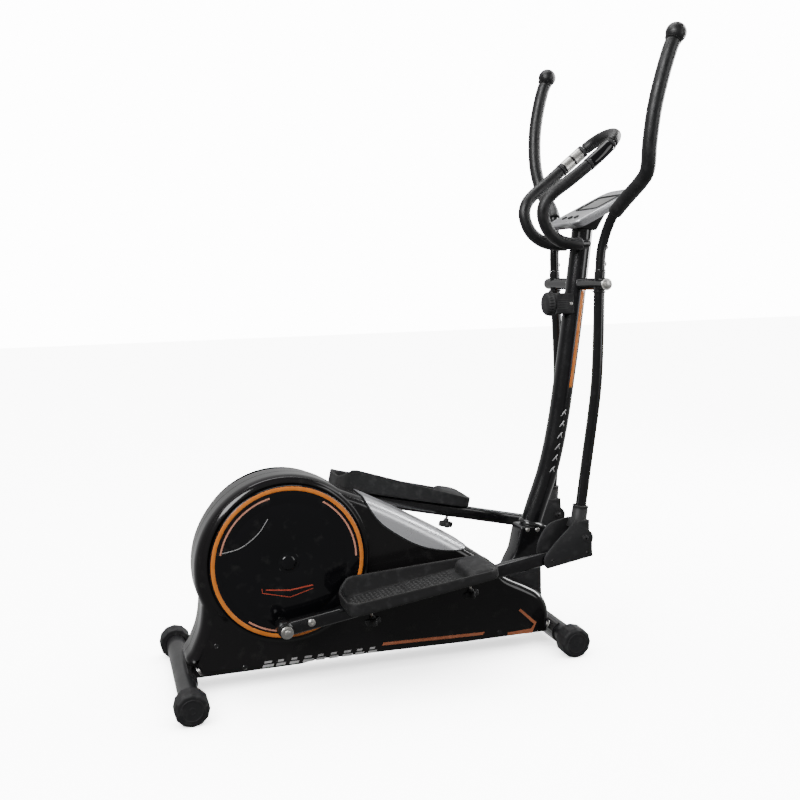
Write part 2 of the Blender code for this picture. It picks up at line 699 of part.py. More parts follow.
def neck_cover():
    """The moulded collar round the post, open above and below."""
    def section(z, x, half_x, half_y, fall=0.0):
        front = x + half_x
        ring = rounded_box_ring(half_x, half_y, 0.008, 3, x)
        return [(px, py, z - fall * (front - px)) for px, py in ring]

    rings = [section(0.134, 0.925, 0.059, 0.040), section(0.190, 0.926, 0.058, 0.038),
             section(0.258, 0.928, 0.056, 0.037, 0.40)]

    def build(bm):
        rows = [[bm.verts.new(point) for point in ring] for ring in rings]
        for lower, upper in zip(rows, rows[1:]):
            for index in range(len(lower)):
                after = (index + 1) % len(lower)
                bm.faces.new((lower[index], lower[after], upper[after], upper[index]))

    made = mesh_from("neck_cover", build)
    shell = made.modifiers.new("wall", "SOLIDIFY")
    shell.thickness = 0.0025
    shell.offset = -1.0
    finish(smooth(made), HOUSING_PLASTIC, DATUM)


# ---------------------------------------------------------------- handlebar loop

def loop_half(side):
    """The loop's centreline from the mast's side to the middle of its top."""
    return [(1.118, side * 0.0435, 1.100), (1.076, side * 0.046, 1.101), (1.034, side * 0.051, 1.109),
            (0.998, side * 0.055, 1.136), (0.981, side * 0.058, 1.176), (0.986, side * 0.062, 1.208),
            (1.008, side * 0.068, 1.234), (1.054, side * 0.076, 1.268), (1.107, side * 0.081, 1.309),
            (1.150, side * 0.080, 1.344), (1.180, side * 0.070, 1.370), (1.200, side * 0.043, 1.388),
            (1.207, 0, 1.394)]


def fixed_handlebar():
    path = loop_half(RIGHT) + list(reversed(loop_half(LEFT)))[1:]
    made = tube("fixed_handlebar", catmull(path, 2), LOOP_R, 4)
    finish(made, BLACK_PAINT, DATUM)


def handlebar_foam(label, side):
    path = catmull(loop_half(side), 2)[1:16]
    made = sleeve("handlebar_foam_" + label, path, LOOP_FOAM_R, LOOP_FOAM_R - LOOP_R - 2 * GAP)
    finish(made, FOAM, DATUM)


def pulse_sensor(label, side):
    path = catmull(loop_half(side), 2)[16:20]
    outer = LOOP_FOAM_R + 0.001
    made = sleeve("pulse_sensor_" + label, path, outer, outer - LOOP_R - 3 * GAP)
    finish(made, STEEL, DATUM)


# ---------------------------------------------------------------- console

def console_frame(u, v, w):
    """A point on the console: u up its face, v across it, w out of the face."""
    turn = math.radians(CONSOLE_SLOPE_DEG)
    return (CONSOLE_X + u * math.cos(turn) - w * math.sin(turn), v,
            CONSOLE_Z + u * math.sin(turn) + w * math.cos(turn))


def console_ring(half_u, half_v, radius, w, shift=0.0):
    return [console_frame(u + shift, v, w) for u, v in rounded_box_ring(half_u, half_v, radius, 3)]


CONSOLE_ROTATION = (0, -math.radians(CONSOLE_SLOPE_DEG), 0)
BUTTON_ROW_U = -0.070
BUTTON_R = 0.0075
BUTTON_TRAVEL = 0.0015


def console_shell():
    rings = [console_ring(0.085, 0.070, 0.025, -CONSOLE_T), console_ring(0.104, 0.088, 0.032, -0.010),
             console_ring(CONSOLE_L / 2, CONSOLE_W / 2, 0.034, -0.003),
             console_ring(CONSOLE_L / 2 - 0.003, CONSOLE_W / 2 - 0.003, 0.032, 0.0)]
    made = loft("console_shell", rings)
    pocket = loft("screen_pocket", [console_ring(0.038, 0.058, 0.006, -0.0045, 0.022),
                                    console_ring(0.038, 0.058, 0.006, 0.01, 0.022)])
    cut(made, tool_at(pocket, DATUM))
    for index, v in enumerate((-0.035, 0.0, 0.035)):
        well = post("button_well_%d" % index, BUTTON_R + GAP, -0.009, 0.01, 16)
        cut(made, tool_at(well, DATUM, console_frame(BUTTON_ROW_U, v, 0), CONSOLE_ROTATION))
    finish(smooth(made), SILVER_PLASTIC, DATUM)


def console_screen():
    made = loft("console_screen", [console_ring(0.0375, 0.0575, 0.0055, -0.0042, 0.022),
                                   console_ring(0.0375, 0.0575, 0.0055, -0.0005, 0.022)])
    finish(made, SCREEN, DATUM)


def console_buttons():
    for name, v in (("console_button_right", -0.035), ("console_button_middle", 0.0),
                    ("console_button_left", 0.035)):
        made = post(name, BUTTON_R, -0.0065, 0.0020, 16)
        finish(made, COVER_PLASTIC, DATUM, console_frame(BUTTON_ROW_U, v, 0), CONSOLE_ROTATION)


def console_bracket():
    """A plate under the console on a stub that drops into the mast."""
    below, top = mast_path()[-2:]
    lean = (top.x - below.x) / (top.z - below.z)
    under = -CONSOLE_T - GAP
    made = loft("console_bracket", [
        [(top.x + x, y, top.z + GAP - lean * x) for x, y in rounded_box_ring(0.030, 0.034, 0.010, 2)],
        [console_frame(u - 0.022, v, under) for u, v in rounded_box_ring(0.040, 0.045, 0.010, 2)]])
    finish(made, COVER_PLASTIC, DATUM)


# ---------------------------------------------------------------- arm axle, tension control

def pivot_axle():
    made = rod("pivot_axle", ARM_AXLE_R, -SLEEVE_END_Y - 0.0005, SLEEVE_END_Y + 0.0005, 16)
    finish(made, STEEL, DATUM, (ARM_AXLE_X, 0, ARM_AXLE_Z))


def axle_bolt(label, side):
    """A bolt head on its washer, which keeps the arm on the axle."""
    base = SLEEVE_END_Y + 0.001
    profile = [(0, base + 0.0085), (0.0075, base + 0.0085), (0.0095, base + 0.0065), (0.0095, base + 0.0025),
               (0.0155, base + 0.0022), (0.0155, base), (0, base)]
    made = turned("axle_bolt_" + label, profile, 24)
    finish(made, STEEL, DATUM, (ARM_AXLE_X, 0, ARM_AXLE_Z), (-side * math.pi / 2, 0, 0))


def tension_housing():
    """The box on the mast's rear side that carries the resistance knob and the cable's end."""
    centre = mast_centre(KNOB_Z)
    made = box("tension_housing", (0.056, 0.062, 0.056), (-0.002, 0, 0), 0.004)
    grip = as_mesh(tube("tension_grip", mast_path()[8:], MAST_R + GAP, 6))
    cut(made, tool_at(grip, DATUM))
    bore = rod("tension_bore", 0.0065, -0.06, 0.03, 16)
    place = (centre - MAST_R - 0.010, 0, KNOB_Z)
    cut(made, tool_at(bore, DATUM, (place[0], 0, KNOB_Z), (0, 0, -math.pi / 2)))
    finish(made, COVER_PLASTIC, DATUM, place)


def knob_x():
    return mast_centre(KNOB_Z) - MAST_R - 0.010 - 0.030 - GAP


def tension_knob():
    profile = [(0, 0.020), (0.022, 0.020), (0.031, 0.015), (0.034, 0.004), (0.034, 0.0),
               (0.006, 0.0), (0.006, -0.014), (0, -0.014)]
    made = turned("tension_knob", profile, 24)
    finish(made, COVER_PLASTIC, KNOB, (0, 0, 0), (0, -math.pi / 2, 0))


def tension_cable():
    """The brake cable, from the tension housing down inside the mast to the brake."""
    start = mast_centre(KNOB_Z)
    brake_x, brake_z = brake_pivot()
    points = [(start - 0.030, 0, KNOB_Z), (start - 0.012, 0, KNOB_Z - 0.010), (start - 0.006, 0, KNOB_Z - 0.050),
              (mast_centre(0.80), 0, 0.80), (mast_centre(0.65), 0, 0.65), (mast_centre(0.50), 0, 0.50),
              (mast_centre(0.36), 0, 0.36), (mast_centre(0.24), 0, 0.24), (0.916, 0, 0.165),
              (0.900, 0, 0.126), (0.850, 0, 0.122), (0.790, 0.006, 0.150),
              (brake_x + 0.030, 0.010, brake_z - 0.020), (brake_x + 0.018, 0.004, brake_z + 0.010)]
    made = tube("tension_cable", catmull(points, 2), 0.0025, 2)
    finish(made, RUBBER, DATUM)


# ---------------------------------------------------------------- foot rails and pedals

def offset_path(side, points):
    return [(x, side * y, z) for x, y, z in points]


RAIL_DROP_REAR, RAIL_DROP_FRONT = -0.004, -0.033


def rail(label, side, carrier):
    """A rail tube with a bearing tube on the crank pin and a tongue for the joint bolt."""
    front = RAIL_LENGTH - 0.060
    drop = RAIL_DROP_FRONT - RAIL_DROP_REAR

    def section(x):
        z = RAIL_DROP_REAR + drop * x / RAIL_LENGTH
        ring = rounded_box_ring(RAIL_W / 2, RAIL_H / 2, 0.010, 3)
        return [(x, py, z + pz) for py, pz in ring]

    made = loft("rail_" + label, [section(-0.004), section(front)])
    sleeve_tube = rod("rail_hub_" + label, 0.020, -0.024, 0.024, 20)
    add(made, tool_at(sleeve_tube, carrier))
    tongue = [(front - 0.03, -0.044), (RAIL_LENGTH, -BOSS_R)]
    tongue += arc(RAIL_LENGTH, 0, BOSS_R, -90, 90, 8)
    tongue += [(RAIL_LENGTH - 0.02, 0.008), (front - 0.03, -0.018)]
    plate = as_mesh(outline_plate("rail_tongue_" + label, tongue, 0.024))
    add(made, tool_at(plate, carrier, (0, 0, 0), UPRIGHT))
    cut(made, tool_at(rod("rail_bore_" + label, PIN_R + GAP, -0.04, 0.04, 16), carrier))
    cut(made, tool_at(rod("rail_eye_" + label, JOINT_BOLT_R + GAP, -0.04, 0.04, 16), carrier,
                      (RAIL_LENGTH, 0, 0)))
    finish(smooth(made, 30), BLACK_PAINT, carrier)


PEDAL_START, PEDAL_END = 0.150, 0.550
PEDAL_IN, PEDAL_OUT = 0.100, 0.235      # distances from the middle plane
PEDAL_LIFT = RAIL_H / 2 + GAP


def rail_drop(x):
    return RAIL_DROP_REAR + (RAIL_DROP_FRONT - RAIL_DROP_REAR) * x / RAIL_LENGTH


def pedal(label, side, carrier):
    """A footplate tray: high inner wall, low outer rim and a raised toe."""
    length = PEDAL_END - PEDAL_START
    middle_x = (PEDAL_START + PEDAL_END) / 2
    middle_y = side * ((PEDAL_IN + PEDAL_OUT) / 2 - SIDE_Y)
    width = PEDAL_OUT - PEDAL_IN
    inward = -side

    def height(x, y):
        across = 0.5 + inward * y / width
        along = 0.5 - x / length
        return 0.025 + 0.003 * across + (0.010 + 0.027 * across) * along

    def ring(half_x, half_y, radius, level):
        points = rounded_box_ring(half_x, half_y, radius, 3)
        return [(x, y, height(x, y) if level is None else level) for x, y in points]

    made = loft("pedal_" + label, [ring(length / 2 - 0.004, width / 2 - 0.004, 0.026, 0.0),
                                   ring(length / 2, width / 2, 0.030, 0.006),
                                   ring(length / 2, width / 2, 0.030, None)])
    pocket = loft("pedal_pocket_" + label, [ring(length / 2 - 0.008, width / 2 - 0.008, 0.022, 0.010),
                                            ring(length / 2 - 0.006, width / 2 - 0.006, 0.024, 0.120)])
    toe = loft("pedal_toe_" + label, [
        [(x, y, 0.005) for x, y in rounded_box_ring(0.042, width / 2 - 0.003, 0.027, 3)],
        [(x, y, 0.027) for x, y in rounded_box_ring(0.042, width / 2 - 0.003, 0.027, 3)],
        [(x - 0.012, y, 0.036) for x, y in rounded_box_ring(0.024, width / 2 - 0.014, 0.018, 3)]])
    place = (middle_x, middle_y, rail_drop(middle_x) + PEDAL_LIFT)
    turn = (0, math.atan2(RAIL_DROP_REAR - RAIL_DROP_FRONT, RAIL_LENGTH), 0)
    cut(made, tool_at(pocket, carrier, place, turn))
    toe_place = (place[0] + length / 2 - 0.046, place[1], place[2])
    corner = box("pedal_corner_" + label, (0.070, 0.200, 0.040))
    corner_place = (PEDAL_START + 0.004, middle_y, place[2] + 0.068)
    cut(made, tool_at(corner, carrier, corner_place, (0, -math.radians(38), 0)))
    add(made, tool_at(toe, carrier, toe_place, turn))
    finish(smooth(made, 35), PEDAL_PLASTIC, carrier, place, turn)


PEDAL_KNOB_X = {"rear": 0.222, "front": 0.492}
KNOB_DROP = RAIL_H / 2 + GAP + 0.0005


def pedal_knob(label, end, holder):
    """A lobed clamp knob on a short stem, under the rail."""
    def build(bm):
        lobes = 4
        ring = []
        for step in range(24):
            turn = step * math.tau / 24
            radius = 0.0165 + 0.0045 * math.cos(lobes * turn)
            ring.append((radius * math.cos(turn), radius * math.sin(turn)))
        low = [bm.verts.new((x, y, -0.030)) for x, y in ring]
        high = [bm.verts.new((x, y, -0.014)) for x, y in ring]
        neck = [bm.verts.new((0.45 * x, 0.45 * y, -0.010)) for x, y in ring]
        top = [bm.verts.new((0.45 * x, 0.45 * y, 0.0)) for x, y in ring]
        for first, second in ((low, high), (high, neck), (neck, top)):
            for index in range(24):
                after = (index + 1) % 24
                bm.faces.new((first[index], first[after], second[after], second[index]))
        bm.faces.new(list(reversed(low)))
        bm.faces.new(top)
    made = mesh_from("pedal_knob_%s_%s" % (end, label), build)
    finish(smooth(made, 50), PEDAL_PLASTIC, holder)


# ---------------------------------------------------------------- swinging arms

LOWER_ARM = [(0.000, 0.000), (0.005, -0.130), (0.007, -0.250), (0.002, -0.340),
             (-0.008, -0.450), (-0.0195, -0.580), (-0.0240, -0.627)]
SLEEVE_TOP_Z = -0.588
SLEEVE_SLOPE = (LOWER_ARM[-2][0] - LOWER_ARM[-1][0]) / (LOWER_ARM[-2][1] - LOWER_ARM[-1][1])
SPLIT_Z = 0.034              # where the handle tube starts above the axle
HANDLE_PATH = [(0.000, 0.000, SPLIT_Z), (0.000, 0.000, 0.080), (0.004, 0.004, 0.115),
               (0.009, 0.013, 0.148), (0.016, 0.030, 0.182), (0.025, 0.074, 0.219),
               (0.031, 0.128, 0.255), (0.032, 0.154, 0.283), (0.025, 0.169, 0.345),
               (0.027, 0.177, 0.420), (0.038, 0.181, 0.490), (0.056, 0.181, 0.560),
               (0.071, 0.179, 0.597)]
GRIP_START = 4


def arm_path():
    return catmull([(x, 0, z) for x, z in LOWER_ARM], 1)


def swing_arm(label, side, carrier):
    """The lower arm, its pivot sleeve and the stub that the handle sits on, welded together."""
    stub = [Vector((0, 0, SPLIT_Z - GAP))]
    made = as_mesh(tube("swing_arm_" + label, stub + arm_path(), ARM_TUBE_R, 6))
    low, high = sorted((side * (MAST_R + 0.004 - SIDE_Y), side * (SLEEVE_END_Y - SIDE_Y)))
    add(made, tool_at(rod("pivot_sleeve_" + label, SLEEVE_R, low, high, 24), carrier))
    cut(made, tool_at(rod("pivot_bore_" + label, ARM_AXLE_R + GAP, -0.12, 0.12, 16), carrier))
    finish(smooth(made, 30), BLACK_PAINT, carrier)


def handle(label, side, carrier):
    path = catmull(offset_path(side, HANDLE_PATH), 2)
    made = tube("handle_" + label, path, HANDLE_R, 4)
    finish(made, BLACK_PAINT, carrier)


def grip(label, side, carrier):
    """The foam sleeve with its ball end, hollow where it takes the handle tube."""
    path = catmull(offset_path(side, HANDLE_PATH), 2)
    foam_run = path[2 * GRIP_START:]
    made = as_mesh(tube("grip_" + label, foam_run, GRIP_R, 4))
    tip = path[-1]
    matrix = Matrix.Translation(tip + Vector((0.002, 0, 0.008)))
    ball = mesh_from("grip_ball_" + label, lambda bm: bmesh.ops.create_uvsphere(
        bm, u_segments=14, v_segments=9, radius=BALL_R, matrix=matrix))
    add(made, tool_at(ball, carrier))
    run = lengthened(path[2 * GRIP_START - 1:], 2 * GAP)
    bore = as_mesh(tube("grip_bore_" + label, run, HANDLE_R + 2 * GAP, 6))
    cut(made, tool_at(bore, carrier))
    finish(smooth(made, 40), FOAM, carrier)


# ---------------------------------------------------------------- joint covers

COVER_HALF = 0.0235
SLOT_HALF = 0.0180
COVER_BORE_R = ARM_TUBE_R + 0.0035
COVER_SLEEVE_R = 0.0212
BORE_OFFSET = -0.0007        # lets the tube wander evenly inside the bore as the linkage turns


def joint_cover(label, side, carrier):
    """A plastic shroud on the joint: a sleeve for the arm above two cheeks that hold the rail."""
    top_z = SLEEVE_TOP_Z - JOINT_Z
    axis_x = (LOWER_ARM[-2][0] + LOWER_ARM[-1][0]) / 2 - JOINT_X + BORE_OFFSET
    axis_z = (LOWER_ARM[-2][1] + LOWER_ARM[-1][1]) / 2 - JOINT_Z

    def along(z, offset=0.0):
        return axis_x + SLEEVE_SLOPE * (z - axis_z) + offset

    rear = along(0.048, 0.001 - COVER_SLEEVE_R)
    cheek = [(rear, 0.048), (-0.060, 0.042), (-0.085, 0.034), (-0.101, 0.018), (-0.111, 0.000),
             (-0.119, -0.020), (-0.120, -0.044), (-0.116, -0.070), (-0.106, -0.078), (0.025, -0.049),
             (0.020, -0.018)]
    cheek += arc(0, 0, 0.0235, -40, 75, 6)
    cheek += [(along(0.038, COVER_SLEEVE_R - 0.001), 0.038), (along(0.048, COVER_SLEEVE_R - 0.001), 0.048)]
    made = as_mesh(outline_plate("joint_cover_" + label, cheek, 2 * COVER_HALF))
    barrel = as_mesh(tube("cover_sleeve_" + label, [(along(0.020), 0, 0.020), (along(top_z), 0, top_z)],
                          COVER_SLEEVE_R, 6))
    add(made, tool_at(barrel, carrier))
    ceiling = 0.026
    back = along(ceiling, -COVER_SLEEVE_R - 0.004)
    slot = [(-0.16, -0.100), (0.018, -0.100), (0.018, -0.006), *arc(0, 0, 0.0195, 0, 60, 4),
            (0.004, ceiling), (back, ceiling), (back, 0.080), (-0.16, 0.080)]
    opening = as_mesh(outline_plate("cover_slot_" + label, slot, 2 * SLOT_HALF))
    cut(made, tool_at(opening, carrier, (0, 0, 0), UPRIGHT))
    trim = [(-0.16, 0.080), (-0.16, -0.045), (-0.1145, -0.042), (-0.080, -0.002), (-0.045, 0.034),
            (-0.034, 0.044), (-0.034, 0.080)]
    outer_trim = as_mesh(outline_plate("cover_trim_" + label, trim, 0.060))
    cut(made, tool_at(outer_trim, carrier, (0, side * (SLOT_HALF - 0.001 + 0.030), 0), UPRIGHT))
    bore = as_mesh(tube("cover_bore_" + label, [(along(0.0), 0, 0.0), (along(top_z + 0.02), 0, top_z + 0.02)],
                        COVER_BORE_R, 6))
    cut(made, tool_at(bore, carrier))
    cut(made, tool_at(rod("cover_eye_" + label, JOINT_BOLT_R + GAP, -0.05, 0.05, 16), carrier))
    finish(smooth(made, 30), COVER_PLASTIC, carrier, (0, 0, 0), UPRIGHT)


def joint_bolt(label, side, carrier):
    """The bolt through the cover's cheeks and the rail's tongue, with a head at each end."""
    outside = COVER_HALF + GAP
    profile = [(0, outside + 0.006), (0.009, outside + 0.006), (0.010, outside + 0.004), (0.010, outside),
               (JOINT_BOLT_R, outside), (JOINT_BOLT_R, -outside), (0.010, -outside),
               (0.010, -outside - 0.004), (0.009, -outside - 0.006), (0, -outside - 0.006)]
    made = turned("joint_bolt_" + label, profile, 16)
    finish(made, STEEL, carrier, (0, 0, 0), (-math.pi / 2, 0, 0))


# ---------------------------------------------------------------- build

CRANK = empty("crank_axis", DATUM, (CRANK_X, 0, CRANK_Z))
FLYWHEEL = empty("flywheel_axis", DATUM, (FLYWHEEL_X, 0, FLYWHEEL_Z))
BRAKE = empty("brake_axis", DATUM, (brake_pivot()[0], 0, brake_pivot()[1]))
KNOB = empty("knob_axis", DATUM, (knob_x(), 0, KNOB_Z))

stabiliser("rear_stabiliser", 0, REAR_HALF)
stabiliser("front_stabiliser", FRONT_X, FRONT_HALF)
base_frame()
mast_socket()
neck_cover()
mast()
fixed_handlebar()
console_bracket()
console_shell()
console_screen()
console_buttons()
pivot_axle()
tension_housing()
tension_knob()
tension_cable()
top_trim()
drive_pulley()
drive_belt()
flywheel()
flywheel_axle()
magnet_bracket()
crank_axle()

for side_name, side_sign in SIDES.items():
    end_cap("rear_cap_" + side_name, 0, REAR_HALF, side_sign)
    end_cap("front_cap_" + side_name, FRONT_X, FRONT_HALF, side_sign)
    housing(side_name, side_sign)
    handlebar_foam(side_name, side_sign)
    pulse_sensor(side_name, side_sign)
    axle_bolt(side_name, side_sign)
    crank_arm(side_name, side_sign)
    crank_disc(side_name, side_sign)
    pin = pin_position(side_sign)
    joint = joint_position(side_sign)
    rail_axis = empty("rail_axis_" + side_name, DATUM, (pin[0], side_sign * SIDE_Y, pin[1]),
                      (0, rail_pitch(side_sign), 0))
    rail(side_name, side_sign, rail_axis)
    pedal(side_name, side_sign, rail_axis)
    for end_name, knob_reach in PEDAL_KNOB_X.items():
        knob_axis = empty("pedal_knob_axis_%s_%s" % (end_name, side_name), rail_axis,
                          (knob_reach, 0, rail_drop(knob_reach) - KNOB_DROP))
        pedal_knob(side_name, end_name, knob_axis)
    arm_axis = empty("arm_axis_" + side_name, DATUM, (ARM_AXLE_X, side_sign * SIDE_Y, ARM_AXLE_Z),
                     (0, arm_lean(side_sign), 0))
    swing_arm(side_name, side_sign, arm_axis)
    handle(side_name, side_sign, arm_axis)
    grip(side_name, side_sign, arm_axis)
    joint_axis = empty("joint_axis_" + side_name, DATUM, (joint[0], side_sign * SIDE_Y, joint[1]),
                       (0, arm_lean(side_sign), 0))
    joint_cover(side_name, side_sign, joint_axis)
    joint_bolt(side_name, side_sign, joint_axis)
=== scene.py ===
"""Looks of the elliptical trainer: fine meshes and procedural materials on the CAD frame.

Lengths are metres. Profiles are measured from the rear stabiliser's axis (x), the middle
plane (y) and the floor (z); the frame gives where that axis is, and where every joint is.
"""

import json
import math

import bmesh
import bpy
from mathutils import Matrix, Vector


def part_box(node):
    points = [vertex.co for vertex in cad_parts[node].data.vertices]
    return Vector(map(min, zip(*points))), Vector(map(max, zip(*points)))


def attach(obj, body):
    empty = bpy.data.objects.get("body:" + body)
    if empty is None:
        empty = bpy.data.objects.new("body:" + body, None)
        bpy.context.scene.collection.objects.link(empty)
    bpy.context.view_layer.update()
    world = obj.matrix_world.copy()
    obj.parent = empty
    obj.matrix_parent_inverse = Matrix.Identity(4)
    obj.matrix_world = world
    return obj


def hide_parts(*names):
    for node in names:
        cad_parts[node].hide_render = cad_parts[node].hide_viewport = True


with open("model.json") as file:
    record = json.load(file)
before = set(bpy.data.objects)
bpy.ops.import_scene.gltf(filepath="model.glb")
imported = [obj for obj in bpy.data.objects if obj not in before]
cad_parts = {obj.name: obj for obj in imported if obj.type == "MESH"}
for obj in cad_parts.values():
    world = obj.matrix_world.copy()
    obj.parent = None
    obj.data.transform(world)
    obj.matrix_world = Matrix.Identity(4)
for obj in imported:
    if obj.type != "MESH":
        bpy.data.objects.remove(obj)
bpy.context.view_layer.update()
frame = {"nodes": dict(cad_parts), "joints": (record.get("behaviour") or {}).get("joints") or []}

JOINTS = {joint["name"]: joint for joint in frame["joints"]}
NODES = frame["nodes"]
SIDES = {"right": -1, "left": 1}


def centre_of(node):
    """The middle of a CAD node's box."""
    low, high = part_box(node)
    return (low + high) / 2


def joint_at(name):
    """Where a joint's axis stands, in world metres."""
    return Vector(JOINTS[name]["pos_m"])


DATUM_X = centre_of("rear_stabiliser").x
FRONT_X = centre_of("front_stabiliser").x - DATUM_X
STABILISER_Z = centre_of("rear_stabiliser").z
TO_WORLD = Matrix.Translation((DATUM_X, 0, 0))
QUARTER_X = Matrix.Rotation(math.pi / 2, 4, "X")
CRANK = joint_at("crank_turn") - Vector((DATUM_X, 0, 0))
AXLE = joint_at("arm_right_swing") - Vector((DATUM_X, 0, 0))
SIDE_Y = 0.132

STABILISER_R = 0.0255
CAP_SIDES = 12
DISC_R, DISC_Y = 0.196, 0.0902
HOUSING_Y, HOUSING_RIM_Y, HOUSING_ROUND = 0.072, 0.038, 0.028
HOUSING_LOW = 0.046
MAST_R = 0.0285
LOOP_R, LOOP_FOAM_R = 0.0125, 0.0165
HANDLE_R, GRIP_R, BALL_R = 0.0130, 0.0185, 0.0255
ARM_TUBE_R = 0.0145
RAIL_LENGTH = 0.8274
RAIL_W, RAIL_H = 0.030, 0.036


# ---------------------------------------------------------------- materials

class Shader:
    """A Principled material with short ways to add detail nodes."""

    def __init__(self, name, colour, roughness, metallic=0.0, **sockets):
        self.material = bpy.data.materials.new(name)
        self.material.use_nodes = True
        self.nodes = self.material.node_tree.nodes
        self.links = self.material.node_tree.links
        self.shader = self.nodes["Principled BSDF"]
        self.colour = (*colour, 1.0)
        self.put("Base Color", self.colour)
        self.put("Roughness", roughness)
        self.put("Metallic", metallic)
        for key, value in sockets.items():
            self.put(key.replace("_", " "), value)
        self.place = self.add("ShaderNodeTexCoord").outputs["Object"]
        self.bump = None

    def put(self, socket, value):
        self.shader.inputs[socket].default_value = value

    def add(self, kind, **settings):
        node = self.nodes.new(kind)
        for key, value in settings.items():
            setattr(node, key, value)
        return node

    def stretched(self, scale):
        mapping = self.add("ShaderNodeMapping")
        mapping.inputs["Scale"].default_value = scale
        self.links.new(self.place, mapping.inputs["Vector"])
        return mapping.outputs["Vector"]

    def noise(self, scale, detail=4.0, stretch=(1, 1, 1), distortion=0.0):
        texture = self.add("ShaderNodeTexNoise")
        texture.inputs["Scale"].default_value = scale
        texture.inputs["Detail"].default_value = detail
        texture.inputs["Distortion"].default_value = distortion
        self.links.new(self.stretched(stretch), texture.inputs["Vector"])
        return texture.outputs["Fac"]

    def cells(self, scale, feature="F1", randomness=1.0):
        texture = self.add("ShaderNodeTexVoronoi", feature=feature)
        texture.inputs["Scale"].default_value = scale
        texture.inputs["Randomness"].default_value = randomness
        self.links.new(self.stretched((1, 1, 1)), texture.inputs["Vector"])
        return texture.outputs["Distance"]

    def ramp(self, source, low, high, start=0.0, stop=1.0):
        """A value that goes from start to stop as the source goes from low to high."""
        node = self.add("ShaderNodeMapRange")
        node.inputs["From Min"].default_value = low
        node.inputs["From Max"].default_value = high
        node.inputs["To Min"].default_value = start
        node.inputs["To Max"].default_value = stop
        self.links.new(source, node.inputs["Value"])
        return node.outputs["Result"]

    def tint(self, source, colour, amount=1.0):
        """Blend the base colour towards another where the source is high."""
        mix = self.add("ShaderNodeMix", data_type="RGBA")
        before = self.shader.inputs["Base Color"]
        if before.is_linked:
            self.links.new(before.links[0].from_socket, mix.inputs["A"])
        else:
            mix.inputs["A"].default_value = self.colour
        mix.inputs["B"].default_value = (*colour, 1.0)
        self.links.new(self.ramp(source, 0.0, 1.0, 0.0, amount), mix.inputs["Factor"])
        self.links.new(mix.outputs["Result"], before)
        return self

    def roughen(self, source, low, high, start, stop):
        self.links.new(self.ramp(source, low, high, start, stop), self.shader.inputs["Roughness"])
        return self

    def emboss(self, source, height, strength=1.0):
        """Add a bump on top of those already there."""
        node = self.add("ShaderNodeBump")
        node.inputs["Distance"].default_value = height
        node.inputs["Strength"].default_value = strength
        self.links.new(source, node.inputs["Height"])
        if self.bump:
            self.links.new(self.bump, node.inputs["Normal"])
        self.bump = node.outputs["Normal"]
        self.links.new(self.bump, self.shader.inputs["Normal"])
        return self

    def worn(self, colour, amount):
        """Lighter rubbed edges."""
        edge = self.add("ShaderNodeNewGeometry").outputs["Pointiness"]
        return self.tint(self.ramp(edge, 0.52, 0.62), colour, amount)


def gloss_plastic(name, colour, rough=(0.10, 0.20)):
    """Moulded gloss plastic: faint flow waves, fine hairline scratches and a film of dust."""
    made = Shader(name, colour, 0.15, Coat_Weight=0.20, Coat_Roughness=0.06, Specular_IOR_Level=0.34)
    made.roughen(made.noise(9.0, 6.0), 0.35, 0.70, *rough)
    made.tint(made.ramp(made.noise(38.0, 8.0), 0.58, 0.80), (0.045, 0.044, 0.042), 0.30)
    made.emboss(made.noise(16.0, 2.0), 0.00025, 0.25)
    made.emboss(made.noise(260.0, 3.0, (1.0, 1.0, 0.08), 0.6), 0.00003, 0.20)
    return made.material


def powder_coat(name, colour, rough=(0.18, 0.30), peel=0.35):
    """Stoved powder paint on tube: orange peel and slightly uneven gloss."""
    made = Shader(name, colour, 0.22, Coat_Weight=0.45, Coat_Roughness=0.10, Specular_IOR_Level=0.45)
    made.roughen(made.noise(14.0, 5.0), 0.35, 0.70, *rough)
    made.tint(made.ramp(made.noise(70.0, 6.0), 0.55, 0.78), (0.040, 0.040, 0.042), 0.35)
    made.emboss(made.noise(520.0, 2.0), 0.00005, peel)
    made.emboss(made.cells(340.0), 0.00003, peel)
    made.worn((0.16, 0.16, 0.16), 0.12)
    return made.material


def grained_plastic(name, colour, scale=620.0, depth=0.00012, rough=(0.48, 0.66)):
    """Spark-eroded moulded plastic with greyed high spots."""
    made = Shader(name, colour, 0.55, Specular_IOR_Level=0.40)
    grain = made.cells(scale, "SMOOTH_F1")
    made.roughen(made.noise(24.0, 6.0), 0.30, 0.72, *rough)
    made.emboss(grain, depth, 0.75)
    made.emboss(made.noise(scale * 1.8, 4.0), depth * 0.5, 0.5)
    made.tint(made.ramp(made.noise(46.0, 7.0), 0.52, 0.80), (0.075, 0.075, 0.077), 0.40)
    made.worn((0.13, 0.13, 0.13), 0.25)
    return made.material


def foam_rubber(name, colour):
    """Closed-cell foam: open pores over a slightly lumpy skin, with a soft sheen."""
    made = Shader(name, colour, 0.50, Sheen_Weight=0.10, Sheen_Roughness=0.4, Specular_IOR_Level=0.50)
    pores = made.cells(900.0)
    made.emboss(made.noise(130.0, 3.0), 0.00025, 0.25)
    made.emboss(pores, 0.00016, 0.45)
    made.tint(made.ramp(pores, 0.25, 0.75), (0.004, 0.004, 0.004), 0.55)
    made.tint(made.ramp(made.noise(30.0, 6.0), 0.5, 0.8), (0.050, 0.050, 0.052), 0.40)
    made.roughen(made.noise(60.0, 4.0), 0.3, 0.7, 0.36, 0.52)
    return made.material


